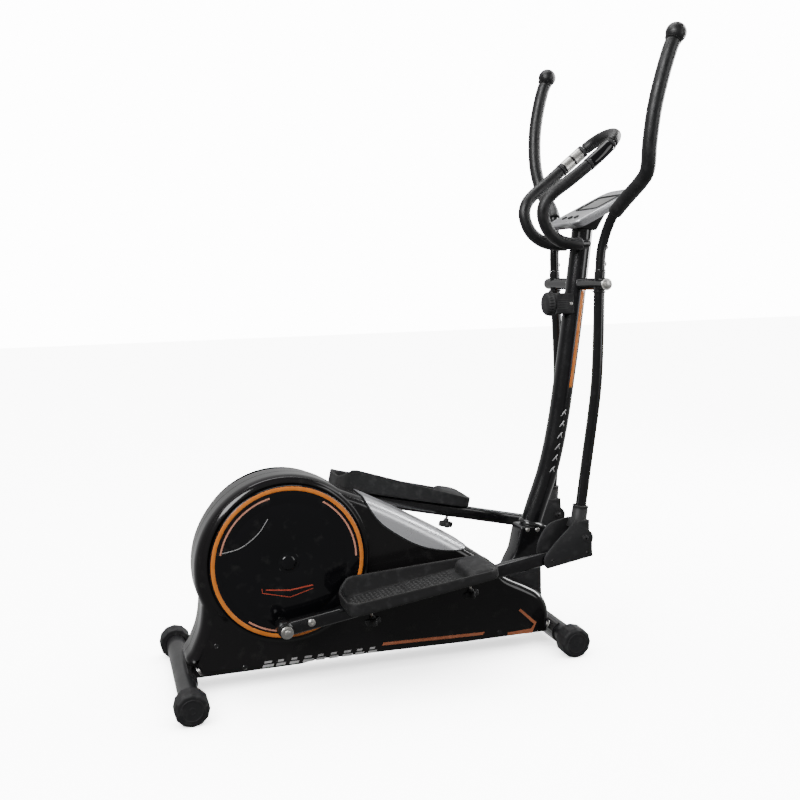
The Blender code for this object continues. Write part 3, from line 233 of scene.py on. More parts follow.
def bright_metal(name, colour, stretch=(1, 40, 40), rough=(0.16, 0.36), scale=60.0):
    """Plated or turned metal with drawn streaks and small stains."""
    made = Shader(name, colour, 0.25, 1.0)
    streaks = made.noise(scale, 5.0, stretch)
    made.roughen(streaks, 0.30, 0.72, *rough)
    made.emboss(streaks, 0.00004, 0.35)
    made.tint(made.ramp(made.noise(90.0, 7.0), 0.55, 0.85), (0.28, 0.26, 0.24), 0.45)
    return made.material


def cast_iron(name):
    """Rough grey iron for the flywheel."""
    made = Shader(name, (0.16, 0.16, 0.165), 0.5, 1.0)
    made.roughen(made.noise(120.0, 6.0), 0.3, 0.7, 0.38, 0.62)
    made.emboss(made.cells(420.0), 0.0002, 0.5)
    made.tint(made.ramp(made.noise(40.0, 8.0), 0.5, 0.8), (0.09, 0.06, 0.045), 0.35)
    return made.material


def silver_paint(name):
    """Metallic silver paint: fine flake under a clear coat."""
    made = Shader(name, (0.56, 0.565, 0.59), 0.30, 0.50, Coat_Weight=0.6, Coat_Roughness=0.08)
    flake = made.cells(2600.0)
    made.tint(made.ramp(flake, 0.15, 0.65), (0.80, 0.81, 0.83), 0.45)
    made.roughen(made.noise(22.0, 5.0), 0.3, 0.7, 0.24, 0.36)
    made.emboss(flake, 0.00002, 0.30)
    return made.material


def print_ink(name, colour, second, metallic=0.0):
    """A screen-printed or foil strip, a little uneven and lightly scuffed."""
    made = Shader(name, colour, 0.35, metallic, Coat_Weight=0.4, Coat_Roughness=0.12)
    made.tint(made.ramp(made.noise(80.0, 5.0), 0.40, 0.75), second, 0.55)
    made.roughen(made.noise(150.0, 5.0), 0.3, 0.7, 0.26, 0.46)
    made.emboss(made.noise(900.0, 2.0), 0.00002, 0.25)
    return made.material


def ribbed_rubber(name):
    """Black rubber with fine ribs, for the drive belt."""
    made = Shader(name, (0.012, 0.012, 0.012), 0.8)
    ribs = made.add("ShaderNodeTexWave", bands_direction="Y")
    ribs.inputs["Scale"].default_value = 220.0
    made.links.new(made.place, ribs.inputs["Vector"])
    made.emboss(ribs.outputs["Fac"], 0.0005, 0.7)
    made.roughen(made.noise(90.0, 5.0), 0.3, 0.7, 0.62, 0.88)
    return made.material


def display_glass(name):
    """A dark liquid-crystal window: a greenish grey field under glass, with faint cell lines."""
    made = Shader(name, (0.035, 0.042, 0.040), 0.08, Coat_Weight=1.0, Coat_Roughness=0.03)
    made.tint(made.ramp(made.noise(14.0, 3.0), 0.3, 0.8), (0.070, 0.082, 0.074), 0.6)
    made.roughen(made.noise(50.0, 6.0), 0.35, 0.75, 0.05, 0.16)
    made.emboss(made.noise(30.0, 1.0), 0.00003, 0.1)
    return made.material


HOUSING = gloss_plastic("housing_gloss", (0.0085, 0.0080, 0.0084))
DISC = gloss_plastic("disc_gloss", (0.0045, 0.0045, 0.0055), (0.05, 0.11))
BLACK_PAINT = powder_coat("black_powder", (0.0065, 0.0065, 0.0072), (0.16, 0.26), 0.25)
GREY_PAINT = powder_coat("grey_powder", (0.0105, 0.0105, 0.0115), (0.40, 0.54), 0.50)
COVER = grained_plastic("cover_grain", (0.016, 0.016, 0.017))
CAP_GRAIN = grained_plastic("cap_grain", (0.012, 0.012, 0.013), 480.0, 0.00016, (0.55, 0.72))
PEDAL = grained_plastic("pedal_grain", (0.0125, 0.0125, 0.0130), 540.0, 0.00016, (0.56, 0.74))
FOAM = foam_rubber("closed_cell_foam", (0.0085, 0.0085, 0.0095))
STEEL = bright_metal("bright_steel", (0.68, 0.67, 0.64), rough=(0.28, 0.46))
TURNED = bright_metal("turned_steel", (0.66, 0.65, 0.63), (40, 1, 40))
IRON = cast_iron("cast_iron")
SILVER = silver_paint("silver_paint")
BELT = ribbed_rubber("belt_rubber")
SCREEN = display_glass("display_glass")
ORANGE = print_ink("orange_print", (0.72, 0.195, 0.020), (0.86, 0.30, 0.045))
SALMON = print_ink("salmon_print", (0.62, 0.26, 0.17), (0.78, 0.40, 0.29))
PALE = print_ink("pale_print", (0.50, 0.50, 0.50), (0.72, 0.72, 0.72), 0.3)
COPPER = print_ink("copper_print", (0.50, 0.150, 0.065), (0.62, 0.24, 0.13))
RED = print_ink("red_print", (0.42, 0.055, 0.030), (0.60, 0.12, 0.07))


# ---------------------------------------------------------------- mesh tools

def new_mesh(name, build):
    """An object whose mesh the given function builds."""
    bm = bmesh.new()
    build(bm)
    mesh = bpy.data.meshes.new(name)
    bm.to_mesh(mesh)
    bm.free()
    made = bpy.data.objects.new(name, mesh)
    bpy.context.scene.collection.objects.link(made)
    return made


def smooth(obj, degrees=38):
    """Shades an object smooth, but keeps edges sharper than the angle."""
    obj.data.shade_smooth()
    obj.data.set_sharp_from_angle(angle=math.radians(degrees))
    return obj


def soften(obj, width, segments=3, degrees=32):
    """Round the sharp edges, keeping flat faces flat."""
    edge = obj.modifiers.new("soften", "BEVEL")
    edge.width = width
    edge.segments = segments
    edge.limit_method = "ANGLE"
    edge.angle_limit = math.radians(degrees)
    edge.harden_normals = True
    obj.data.shade_smooth()
    return obj


def settle(obj):
    """Apply the modifiers to the mesh."""
    bpy.context.view_layer.update()
    graph = bpy.context.evaluated_depsgraph_get()
    mesh = bpy.data.meshes.new_from_object(obj.evaluated_get(graph))
    obj.modifiers.clear()
    obj.data = mesh
    return obj


def carve(obj, *cutters, operation="DIFFERENCE", solver="EXACT"):
    """Applies boolean cutters to an object and removes them."""
    for cutter in cutters:
        step = obj.modifiers.new("carve", "BOOLEAN")
        step.operation = operation
        step.object = cutter
        step.solver = solver
    settle(obj)
    for cutter in cutters:
        bpy.data.objects.remove(cutter, do_unlink=True)
    return obj


def moved(obj, matrix):
    """Moves an object's mesh by a matrix."""
    obj.data.transform(matrix)
    obj.data.update()
    return obj


def together(name, objects):
    """One object from several, without their modifiers."""
    bm = bmesh.new()
    for obj in objects:
        if obj.modifiers:
            settle(obj)
        bm.from_mesh(obj.data)
        bpy.data.objects.remove(obj, do_unlink=True)
    mesh = bpy.data.meshes.new(name)
    bm.to_mesh(mesh)
    bm.free()
    made = bpy.data.objects.new(name, mesh)
    bpy.context.scene.collection.objects.link(made)
    return made


def piece(obj, paint, body, stands_for=()):
    """Give the piece its material and its body, and hide the CAD nodes it stands for."""
    obj.data.materials.clear()
    obj.data.materials.append(paint)
    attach(obj, body)
    if stands_for:
        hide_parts(*stands_for)
    return obj


def catmull(points, per_span=12):
    """A smooth run of points through the given ones."""
    path = [Vector(point) for point in points]
    ends = [2 * path[0] - path[1]] + path + [2 * path[-1] - path[-2]]
    run = []
    for index in range(1, len(ends) - 2):
        before, start, stop, after = ends[index - 1:index + 3]
        for step in range(per_span):
            t = step / per_span
            run.append(0.5 * (2 * start + (stop - before) * t
                              + (2 * before - 5 * start + 4 * stop - after) * t * t
                              + (3 * start - before - 3 * stop + after) * t ** 3))
    return run + [path[-1]]


def run_length(path):
    """The length along a run of points."""
    return sum((b - a).length for a, b in zip(path, path[1:]))


def point_on(path, distance):
    """The point a distance along a fine run, and the direction there."""
    for a, b in zip(path, path[1:]):
        step = (b - a).length
        if distance <= step or b is path[-1]:
            return a + (b - a) * (distance / step), (b - a).normalized()
        distance -= step
    return path[-1], (path[-1] - path[-2]).normalized()


def skin(name, rings, caps=True):
    """A closed skin over rings of equal point counts."""
    def build(bm):
        rows = [[bm.verts.new(point) for point in ring] for ring in rings]
        for lower, upper in zip(rows, rows[1:]):
            count = len(lower)
            for index in range(count):
                after = (index + 1) % count
                bm.faces.new((lower[index], lower[after], upper[after], upper[index]))
        if caps:
            bm.faces.new(list(reversed(rows[0])))
            bm.faces.new(rows[-1])
        bmesh.ops.recalc_face_normals(bm, faces=bm.faces)
    return new_mesh(name, build)


def even_stops(start, stop, radius, pitch=0.008, edge=0.0008):
    """Stops of (distance, radius) for an even round bar with softened ends."""
    count = max(2, round((stop - start) / pitch))
    inner = [start + edge + (stop - start - 2 * edge) * k / count for k in range(count + 1)]
    return [(start, radius - edge)] + [(s, radius) for s in inner] + [(stop, radius - edge)]


def bar(name, path, stops, sides=28):
    """A round skin along a fine run, its radius set at each stop."""
    side = None
    rings = []
    for distance, radius in stops:
        centre, direction = point_on(path, distance)
        if side is None:
            side = direction.orthogonal().normalized()
        side = (side - direction * side.dot(direction)).normalized()
        other = direction.cross(side)
        rings.append([centre + radius * (math.cos(math.tau * k / sides) * side
                                         + math.sin(math.tau * k / sides) * other)
                      for k in range(sides)])
    return smooth(skin(name, rings))


def tube(name, path, radius, start=0.0, stop=None, sides=28, pitch=0.008):
    """A round bar of constant radius along a run."""
    stop = run_length(path) if stop is None else stop
    return bar(name, path, even_stops(start, stop, radius, pitch), sides)


def lathe(name, profile, sides=48, matrix=Matrix.Identity(4)):
    """A profile of (radius, height) turned about Z, then placed; radius 0 closes an end."""
    def build(bm):
        rows = []
        for radius, height in profile:
            if radius == 0:
                rows.append([bm.verts.new((0, 0, height))])
            else:
                rows.append([bm.verts.new((radius * math.cos(math.tau * k / sides),
                                           radius * math.sin(math.tau * k / sides), height))
                             for k in range(sides)])
        closed = profile[0][0] != 0
        for lower, upper in zip(rows, rows[1:] + (rows[:1] if closed else [])):
            for k in range(sides):
                after = (k + 1) % sides
                corners = [lower[k % len(lower)], lower[after % len(lower)],
                           upper[after % len(upper)], upper[k % len(upper)]]
                unique = list(dict.fromkeys(corners))
                if len(unique) > 2:
                    bm.faces.new(unique)
        bmesh.ops.recalc_face_normals(bm, faces=bm.faces)
    return moved(smooth(new_mesh(name, build)), matrix)


def facing(side, x, z, y=0.0):
    """A place on one side of the machine whose local Z points outwards."""
    return TO_WORLD @ Matrix.Translation((x, side * y, z)) @ Matrix.Rotation(-side * math.pi / 2, 4, "X")


def arc(x, z, radius, start, stop, steps):
    """Points on an arc in the XZ plane, from start to stop degrees."""
    turns = [math.radians(start + (stop - start) * k / steps) for k in range(steps + 1)]
    return [(x + radius * math.cos(turn), z + radius * math.sin(turn)) for turn in turns]


def slab(name, outline, low, high, soft=0.0, matrix=TO_WORLD):
    """An outline in the XZ plane, from y = low to y = high."""
    def build(bm):
        near = [bm.verts.new((x, low, z)) for x, z in outline]
        far = [bm.verts.new((x, high, z)) for x, z in outline]
        count = len(outline)
        for k in range(count):
            after = (k + 1) % count
            bm.faces.new((near[k], near[after], far[after], far[k]))
        bm.faces.new(list(reversed(near)))
        bm.faces.new(far)
        bmesh.ops.recalc_face_normals(bm, faces=bm.faces)
    made = moved(new_mesh(name, build), matrix)
    return soften(made, soft) if soft else made


def rounded_ring(half_x, half_y, radius, steps=6, x=0.0, y=0.0):
    """A rectangle's outline with rounded corners."""
    ring = []
    for turn, (sx, sy) in enumerate([(1, 1), (-1, 1), (-1, -1), (1, -1)]):
        ring += arc(x + sx * (half_x - radius), y + sy * (half_y - radius), radius,
                    90 * turn, 90 * turn + 90, steps)
    return ring


def block(name, size, soft, matrix):
    """A softened block about its own centre."""
    sx, sy, sz = (value / 2 for value in size)
    made = slab(name, [(-sx, -sz), (sx, -sz), (sx, sz), (-sx, sz)], -sy, sy, 0.0, Matrix.Identity(4))
    moved(made, matrix)
    return soften(made, soft)


def stroke(name, points, width, low, high, matrix=TO_WORLD):
    """A flat band of even width along an open run of (x, z) points."""
    left, right = [], []
    for k, (x, z) in enumerate(points):
        ax, az = points[max(k - 1, 0)]
        bx, bz = points[min(k + 1, len(points) - 1)]
        dx, dz = bx - ax, bz - az
        length = math.hypot(dx, dz)
        bend = 1.0
        if 0 < k < len(points) - 1:
            first = math.atan2(z - az, x - ax)
            second = math.atan2(bz - z, bx - x)
            bend = 1 / max(0.5, math.cos((second - first) / 2))
        nx, nz = -dz / length * width / 2 * bend, dx / length * width / 2 * bend
        left.append((x + nx, z + nz))
        right.append((x - nx, z - nz))
    return slab(name, left + list(reversed(right)), low, high, 0.0, matrix)


def hexagon(radius):
    """A hexagon's corners."""
    return [(radius * math.cos(math.radians(30 + 60 * k)), radius * math.sin(math.radians(30 + 60 * k)))
            for k in range(6)]


def hex_bolt(name, matrix, across=0.0085, height=0.0055, washer=0.0115):
    """A hexagon head with a chamfered top on a plain washer, its axis along local Z."""
    turn = QUARTER_X
    plate = lathe(name + "_washer", [(0, 0.0016), (washer - 0.0004, 0.0016), (washer, 0.0012),
                                     (washer, 0.0), (0, 0.0)], 32)
    head = settle(slab(name + "_head", hexagon(across), -height - 0.0014, -0.0014, 0.0006, turn.inverted()))
    return moved(smooth(together(name, [plate, head])), matrix)


def dome_bolt(name, matrix, radius=0.0095, height=0.0050, washer=0.0130):
    """A domed head with a hexagon socket on a washer."""
    profile = [(0.0, height * 0.35), (0.0030, height * 0.35), (0.0033, height * 0.95)]
    for k in range(7):
        turn = math.radians(20 + 70 * k / 6)
        profile.append((radius * math.sin(turn), 0.0016 + (height - 0.0012) * math.cos(turn) ** 0.7
                        if k < 6 else 0.0016))
    profile += [(washer - 0.0004, 0.0016), (washer, 0.0012), (washer, 0.0), (0, 0.0)]
    return lathe(name, profile, 36, matrix)


# ---------------------------------------------------------------- stabilisers and base

def stabiliser(node, x):
    """One of the two tubes that rest across the floor."""
    low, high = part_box(node)
    turn = Matrix.Translation((DATUM_X + x, 0, STABILISER_Z)) @ QUARTER_X
    half = (high.y - low.y) / 2
    profile = [(0, half), (STABILISER_R - 0.001, half), (STABILISER_R, half - 0.001)]
    profile += [(STABILISER_R, half * (1 - k / 12)) for k in range(1, 24)]
    profile += [(STABILISER_R, -half + 0.001), (STABILISER_R - 0.001, -half), (0, -half)]
    piece(lathe(node + "_tube", profile, 56, turn), GREY_PAINT, "frame", [node])


def end_cap(node, x, side):
    """A twelve-sided moulded cap with a stepped outer face and a rolled inner lip."""
    low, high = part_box(node)
    outer, inner = (high.y, low.y) if side > 0 else (-low.y, -high.y)
    flat = STABILISER_Z
    corner = flat / math.cos(math.pi / CAP_SIDES)
    steps = [(outer - 0.0016, corner - 0.0150), (outer - 0.0016, corner - 0.0160), (outer, corner - 0.0175),
             (outer, corner - 0.0075), (outer - 0.0010, corner - 0.0050), (outer - 0.0050, corner - 0.0004),
             (outer - 0.0075, corner), (inner + 0.006, corner), (inner + 0.003, corner - 0.0004),
             (inner, corner - 0.0025), (inner, STABILISER_R + 0.0006), (outer - 0.008, STABILISER_R + 0.0006)]
    order = [3, 4, 5, 6, 7, 8, 9, 10, 11]
    rings = []
    for index in order:
        y, radius = steps[index]
        ring = []
        for k in range(CAP_SIDES * 4):
            turn = math.pi / CAP_SIDES + k * math.tau / (CAP_SIDES * 4)
            local = (turn + math.pi / CAP_SIDES) % (math.tau / CAP_SIDES) - math.pi / CAP_SIDES
            reach = radius * math.cos(math.pi / CAP_SIDES) / math.cos(local) if index < 10 else radius
            ring.append((reach * math.sin(turn + math.pi / CAP_SIDES), side * y,
                         -reach * math.cos(turn + math.pi / CAP_SIDES)))
        rings.append(ring)
    shell = skin(node + "_shell", rings)
    face = lathe(node + "_face", [(0, 0.0004), (0.0065, 0.0004), (0.0075, 0.0010), (0.0085, 0.0004),
                                  (0.0235, 0.0004), (0.0245, 0.0011), (0.0265, 0.0011), (0.0275, 0.0002),
                                  (0.0275, -0.0006), (0, -0.0006)], 48,
                 Matrix.Translation((0, side * outer, 0)) @ Matrix.Rotation(-side * math.pi / 2, 4, "X"))
    made = moved(together(node + "_cap", [shell, face]),
                 Matrix.Translation((DATUM_X + x, 0, STABILISER_Z)))
    soften(smooth(made, 14), 0.0009, 3, 14)
    piece(made, CAP_GRAIN, "frame", [node])


def base_bolts():
    """Carriage bolts through both saddles."""
    for name, x, z, turn in (("rear", STABILISER_R + 0.0075, 0.063, 62),
                             ("front", FRONT_X - STABILISER_R - 0.0075, 0.064, -62)):
        for label, side in SIDES.items():
            place = (TO_WORLD @ Matrix.Translation((x, side * 0.060, z - 0.004))
                     @ Matrix.Rotation(math.radians(turn), 4, "Y"))
            bolt = hex_bolt("saddle_bolt_%s_%s" % (name, label), place, 0.0075, 0.0052, 0.0120)
            piece(bolt, STEEL, "frame")


def base_rails():
    """The beam and its saddles keep their CAD shape under a paint with some texture."""
    NODES["base_frame"].data.materials.clear()
    NODES["base_frame"].data.materials.append(BLACK_PAINT)
    soften(NODES["base_frame"], 0.0012, 2, 40)


# ---------------------------------------------------------------- housing

def housing_outline():
    """The housing's side view, from the rear foot over the head and down the nose."""
    foot = catmull([(0.0405, 0, HOUSING_LOW - 0.004), (0.006, 0, 0.084), (0.021, 0, 0.112), (0.041, 0, 0.160),
                    (0.050, 0, 0.212), (0.0494, 0, 0.245)], 6)
    run = [(point.x, point.z) for point in foot[:-4]]
    for degrees in range(196, 47, -3):
        radius = 0.216 + 0.021 * ((degrees - 95) / 105) ** 2
        turn = math.radians(degrees)
        run.append((CRANK.x + radius * math.cos(turn), CRANK.z + radius * math.sin(turn)))
    slope = catmull([(run[-1][0], 0, run[-1][1]), (0.480, 0, 0.4575), (0.570, 0, 0.4105), (0.680, 0, 0.3475),
                     (0.760, 0, 0.2975), (0.838, 0, 0.2420), (0.868, 0, 0.2120), (0.925, 0, 0.1810),
                     (0.962, 0, 0.1580), (0.984, 0, 0.1290), (0.994, 0, 0.1000), (0.9965, 0, 0.070),
                     (0.997, 0, HOUSING_LOW - 0.004)], 6)
    return run + [(point.x, point.z) for point in slope[1:]]


def inset(outline, distance):
    """An open outline moved sideways by a distance."""
    moved_run = []
    for index, (x, z) in enumerate(outline):
        ax, az = outline[max(index - 1, 0)]
        bx, bz = outline[min(index + 1, len(outline) - 1)]
        dx, dz = bx - ax, bz - az
        length = math.hypot(dx, dz)
        moved_run.append((x + distance * dz / length, z - distance * dx / length))
    return moved_run


def shoulder(lift=0.0, steps=9):
    """(depth, y) from the middle plane over the rim and round the shoulder to the side wall."""
    run = [(0.0007 - lift, 0.0004), (-lift, 0.0012)]
    run += [(-lift, HOUSING_RIM_Y * k / 3) for k in (1, 2, 3)]
    for step in range(1, steps + 1):
        turn = math.radians(90 * step / steps)
        run.append((HOUSING_ROUND * (1 - math.cos(turn)) * 0.9 - lift * math.cos(turn),
                    HOUSING_RIM_Y + (HOUSING_Y - HOUSING_RIM_Y) * math.sin(turn) + lift * math.sin(turn)))
    return run


def housing(label, side):
    """One moulded half of the housing."""
    outline = housing_outline()
    rows = shoulder()

    def build(bm):
        lines = [[bm.verts.new((x, side * y, z)) for x, z in inset(outline, depth)] for depth, y in rows]
        for first, second in zip(lines, lines[1:]):
            for index in range(len(first) - 1):
                bm.faces.new((first[index], first[index + 1], second[index + 1], second[index]))
        face = bm.faces.new(lines[-1])
        bmesh.ops.recalc_face_normals(bm, faces=bm.faces)
        face.normal_update()
        if face.normal.y * side < 0:
            bmesh.ops.reverse_faces(bm, faces=bm.faces)

    made = new_mesh("housing_%s_shell" % label, build)
    wall = made.modifiers.new("wall", "SOLIDIFY")
    wall.thickness = 0.003
    wall.offset = -1.0
    floor = block("floor_tool", (1.3, 0.3, 0.1), 0, Matrix.Translation((0.5, 0, HOUSING_LOW - 0.05)))
    neck = block("neck_tool", (0.122, 0.084, 0.30), 0, Matrix.Translation((0.9265, 0, 0.130 + 0.15)))
    tools = [floor, neck]
    for x in (0.0, FRONT_X):
        tools.append(block("saddle_tool", (0.078, 0.176, 0.08), 0,
                           Matrix.Translation((x, 0, STABILISER_Z - 0.006))))
    tools.append(block("beam_tool", (0.10, 0.0515, 0.10), 0, Matrix.Translation((0.96, 0, 0.0403))))
    for tool in tools:
        tool.modifiers.clear()
    carve(made, *tools, solver="FAST")
    moved(smooth(made, 30), TO_WORLD)
    flat = made.modifiers.new("flat", "WEIGHTED_NORMAL")
    flat.keep_sharp = True
    piece(made, HOUSING, "frame", ["housing_" + label])
    well = lathe("housing_well_" + label, [(0.1985, 0.0055), (0.2000, 0.0068), (0.2020, 0.0070),
                                           (0.2045, 0.0062),
                                           (0.2085, 0.0030), (0.2115, 0.0010), (0.2140, 0.0001),
                                           (0.2140, -0.0010), (0.1985, -0.0010)], 160,
                 facing(side, CRANK.x, CRANK.z, HOUSING_Y))
    piece(well, HOUSING, "frame")


def housing_screws(label, side):
    """Countersunk cross-head screws at the housing's corners."""
    for number, (x, z) in enumerate(((0.080, 0.122), (0.148, 0.057), (0.841, 0.059), (0.441, 0.447))):
        y = HOUSING_Y if number < 3 else HOUSING_Y - 0.0008
        place = facing(side, x, z, y)
        collar = lathe("screw_collar", [(0.0036, 0.0003), (0.0044, 0.0009), (0.0058, 0.0009),
                                        (0.0066, 0.0002),
                                        (0.0066, -0.0008), (0.0036, -0.0008)], 28, place)
        head = lathe("screw_head", [(0, 0.0003), (0.0022, 0.0003), (0.0034, -0.0002), (0.0034, -0.0008),
                                    (0, -0.0008)], 24, place)
        bars = [block("screw_bar", (0.0042, 0.0008, 0.0006), 0.0001,
                      place @ Matrix.Translation((0, 0, 0.0003)) @ Matrix.Rotation(turn, 4, "Z"))
                for turn in (0.3, 0.3 + math.pi / 2)]
        made = together("housing_screw_%s_%d" % (label, number + 1), [collar, head, *bars])
        piece(smooth(made), BLACK_PAINT, "frame")


def housing_print(label, side):
    """Printed lines along the sill: bars, one long line and a chevron at the nose."""
    low, high = sorted((side * (HOUSING_Y + 0.0001), side * (HOUSING_Y + 0.0004)))
    line = slab("housing_line_" + label, [(0.508, 0.0665), (0.792, 0.0585), (0.797, 0.0665), (0.512, 0.0745)],
                low, high)
    piece(line, COPPER, "frame")
    hook = stroke("housing_chevron_" + label,
                  [(0.900, 0.116), (0.946, 0.072), (0.935, 0.0515), (0.864, 0.0525)],
                  0.0068, low, high)
    piece(hook, COPPER, "frame")
    bars = []
    for number in range(9):
        x = 0.192 + 0.0345 * number
        wide = 0.0235 if number % 3 else 0.0275
        bars.append(slab("bar", [(x, 0.0510), (x + wide, 0.0510), (x + wide + 0.003, 0.0575),
                                 (x + 0.003, 0.0575)],
                         low, high))
        bars.append(slab("bar", [(x + 0.005, 0.0610), (x + wide - 0.004, 0.0610), (x + wide - 0.0015, 0.0665),
                                 (x + 0.0075, 0.0665)], low, high))
    piece(together("housing_bars_" + label, bars), PALE, "frame")


def top_trim():
    """The silver lens over the front slope, wrapped down both shoulders, on a dark gasket."""
    outline = housing_outline()
    near = [index for index, point in enumerate(outline) if 0.43 < point[0] < 0.80 and point[1] > 0.22]
    lens = catmull([(0.472, 0, 0.475), (0.480, 0, 0.447), (0.512, 0, 0.398), (0.571, 0, 0.352),
                    (0.625, 0, 0.323), (0.681, 0, 0.3075), (0.735, 0, 0.3025), (0.7575, 0, 0.3065)], 8)
    for name, lift, base, paint, spread, slot in (("trim_lens", 0.0045, 0.0012, SILVER, 0.0,
                                                   "silver_plastic"),
                                                  ("trim_gasket", 0.0022, 0.0006, COVER, 0.004,
                                                   "cover_plastic")):
        def half(index, height):
            points = []
            for depth, y in shoulder(height)[2:] + [(0.045, HOUSING_Y + height), (0.070, HOUSING_Y + height)]:
                x, z = inset(outline, depth)[index]
                points.append((x, y, z))
            return [(x, -y, z) for x, y, z in reversed(points)] + points
        rings = [half(index, lift) + list(reversed(half(index, base))) for index in near]
        body = skin(name, rings)
        edge = [(point.x - spread * 0.5, point.z - spread) for point in lens]
        plate = slab("lens_tool", [(0.472 - spread, 0.52)] + edge + [(0.80, 0.3065 - spread), (0.80, 0.52)],
                     -0.12, 0.12,
                     0.0, Matrix.Identity(4))
        carve(body, plate, operation="INTERSECT")
        moved(body, TO_WORLD)
        soften(smooth(body, 35), 0.0009, 3, 50)
        if lift > 0.004:
            piece(body, paint, "frame", ["top_trim"])
        else:
            piece(body, paint, "frame")


# ---------------------------------------------------------------- crank discs

def crank_disc(label, side):
    """A gloss disc with a rolled rim, shallow rings and a hub cap."""
    profile = [(0, 0.0), (0.026, 0.0), (0.0275, -0.0006), (0.0290, 0.0), (0.150, 0.0), (0.1515, -0.0004),
               (0.153, 0.0), (0.1805, 0.0), (0.1820, -0.0005), (0.1835, 0.0)]
    for step in range(7):
        turn = math.radians(90 * step / 6)
        profile.append((DISC_R - 0.0035 + 0.0035 * math.sin(turn), -0.0035 + 0.0035 * math.cos(turn)))
    profile += [(DISC_R, -0.0095), (DISC_R - 0.003, -0.0095), (DISC_R - 0.006, -0.003), (0, -0.003)]
    place = facing(side, CRANK.x, CRANK.z, DISC_Y)
    body = lathe("crank_disc_%s_shell" % label, profile, 160, place)
    piece(body, DISC, "crank", ["crank_disc_" + label])
    ring = lathe("disc_ring_" + label, [(0.1835, 0.0002), (0.1845, 0.0007), (0.1925, 0.0007),
                                        (0.1935, 0.0001),
                                        (0.1935, -0.0004), (0.1835, -0.0004)], 160, place)
    piece(ring, ORANGE, "crank")
    cap = lathe("disc_hub_" + label, [(0, 0.0058), (0.006, 0.0056), (0.012, 0.0048), (0.0165, 0.0034),
                                      (0.0190, 0.0016), (0.0200, 0.0002), (0.0200, -0.0004), (0, -0.0004)],
                56, place)
    piece(cap, DISC, "crank")


def disc_print(label, side):
    """Thin arcs, a pale painted reflection line and a shallow chevron on the disc's face."""
    low, high = sorted((side * (DISC_Y + 0.0001), side * (DISC_Y + 0.0004)))
    here = TO_WORLD @ Matrix.Translation((CRANK.x, 0, CRANK.z))
    arcs = []
    for start, stop, radius in ((104, 168, 0.1725), (0, 58, 0.1740), (233, 262, 0.1760)):
        arcs.append(stroke("arc", arc(0, 0, radius, start, stop, 40), 0.0042, low, high, here))
    piece(together("disc_arcs_" + label, arcs), SALMON, "crank")
    # The pale line on the upper left is a painted reflection: a streak of light on the gloss disc, drawn in
    # the pale ink.
    painted_reflection_run = catmull([(-0.1640, 0, 0.0400), (-0.118, 0, 0.0500), (-0.075, 0, 0.0800), (-0.0480, 0, 0.1160)], 12)
    lens = stroke("disc_painted_reflection_" + label, [(p.x, p.z) for p in painted_reflection_run], 0.0018, low, high, here)
    piece(lens, PALE, "crank")
    mark = [stroke("mark", [(-0.060, -0.064), (0.0, -0.071), (0.060, -0.064)], 0.0034, low, high, here),
            stroke("mark", [(-0.070, -0.060), (-0.069, -0.071), (0.0, -0.089), (0.060, -0.073)], 0.0018,
                   low, high, here)]
    piece(together("disc_mark_" + label, mark), RED, "crank")


# ---------------------------------------------------------------- crank arm and pins

def crank_pin(label, side):
    """The pin's bolt and washer outside the rail's bearing tube."""
    pin = joint_at("rail_%s_turn" % label)
    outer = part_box("crank_arm_" + label)
    y = max(abs(outer[0].y), abs(outer[1].y))
    place = Matrix.Translation((pin.x, side * (y - 0.0068), pin.z)) @ Matrix.Rotation(-side * math.pi / 2, 4,
                                                                                      "X")
    washer = lathe("crank_washer_" + label, [(0, 0.0022), (0.0150, 0.0022), (0.0158, 0.0015), (0.0158, 0.0),
                                             (0, 0.0)], 40, place)
    piece(washer, STEEL, "crank")
    place = place @ Matrix.Translation((0, 0, 0.0024))
    piece(hex_bolt("crank_bolt_" + label, place, 0.0082, 0.0040, 0.0118), STEEL, "crank")


# ---------------------------------------------------------------- foot rails

def rail_frame(label):
    """The rail's own frame: X from the crank pin to the joint bolt."""
    pin, joint = joint_at("rail_%s_turn" % label), joint_at("joint_%s_turn" % label)
    pitch = -math.atan2(joint.z - pin.z, joint.x - pin.x)
    return Matrix.Translation(pin) @ Matrix.Rotation(pitch, 4, "Y")


RAIL_DROP_REAR, RAIL_DROP_FRONT = -0.004, -0.033


def rail_drop(x):
    """The offset of a rail's middle line from the line through its two pins, at x."""
    return RAIL_DROP_REAR + (RAIL_DROP_FRONT - RAIL_DROP_REAR) * x / RAIL_LENGTH


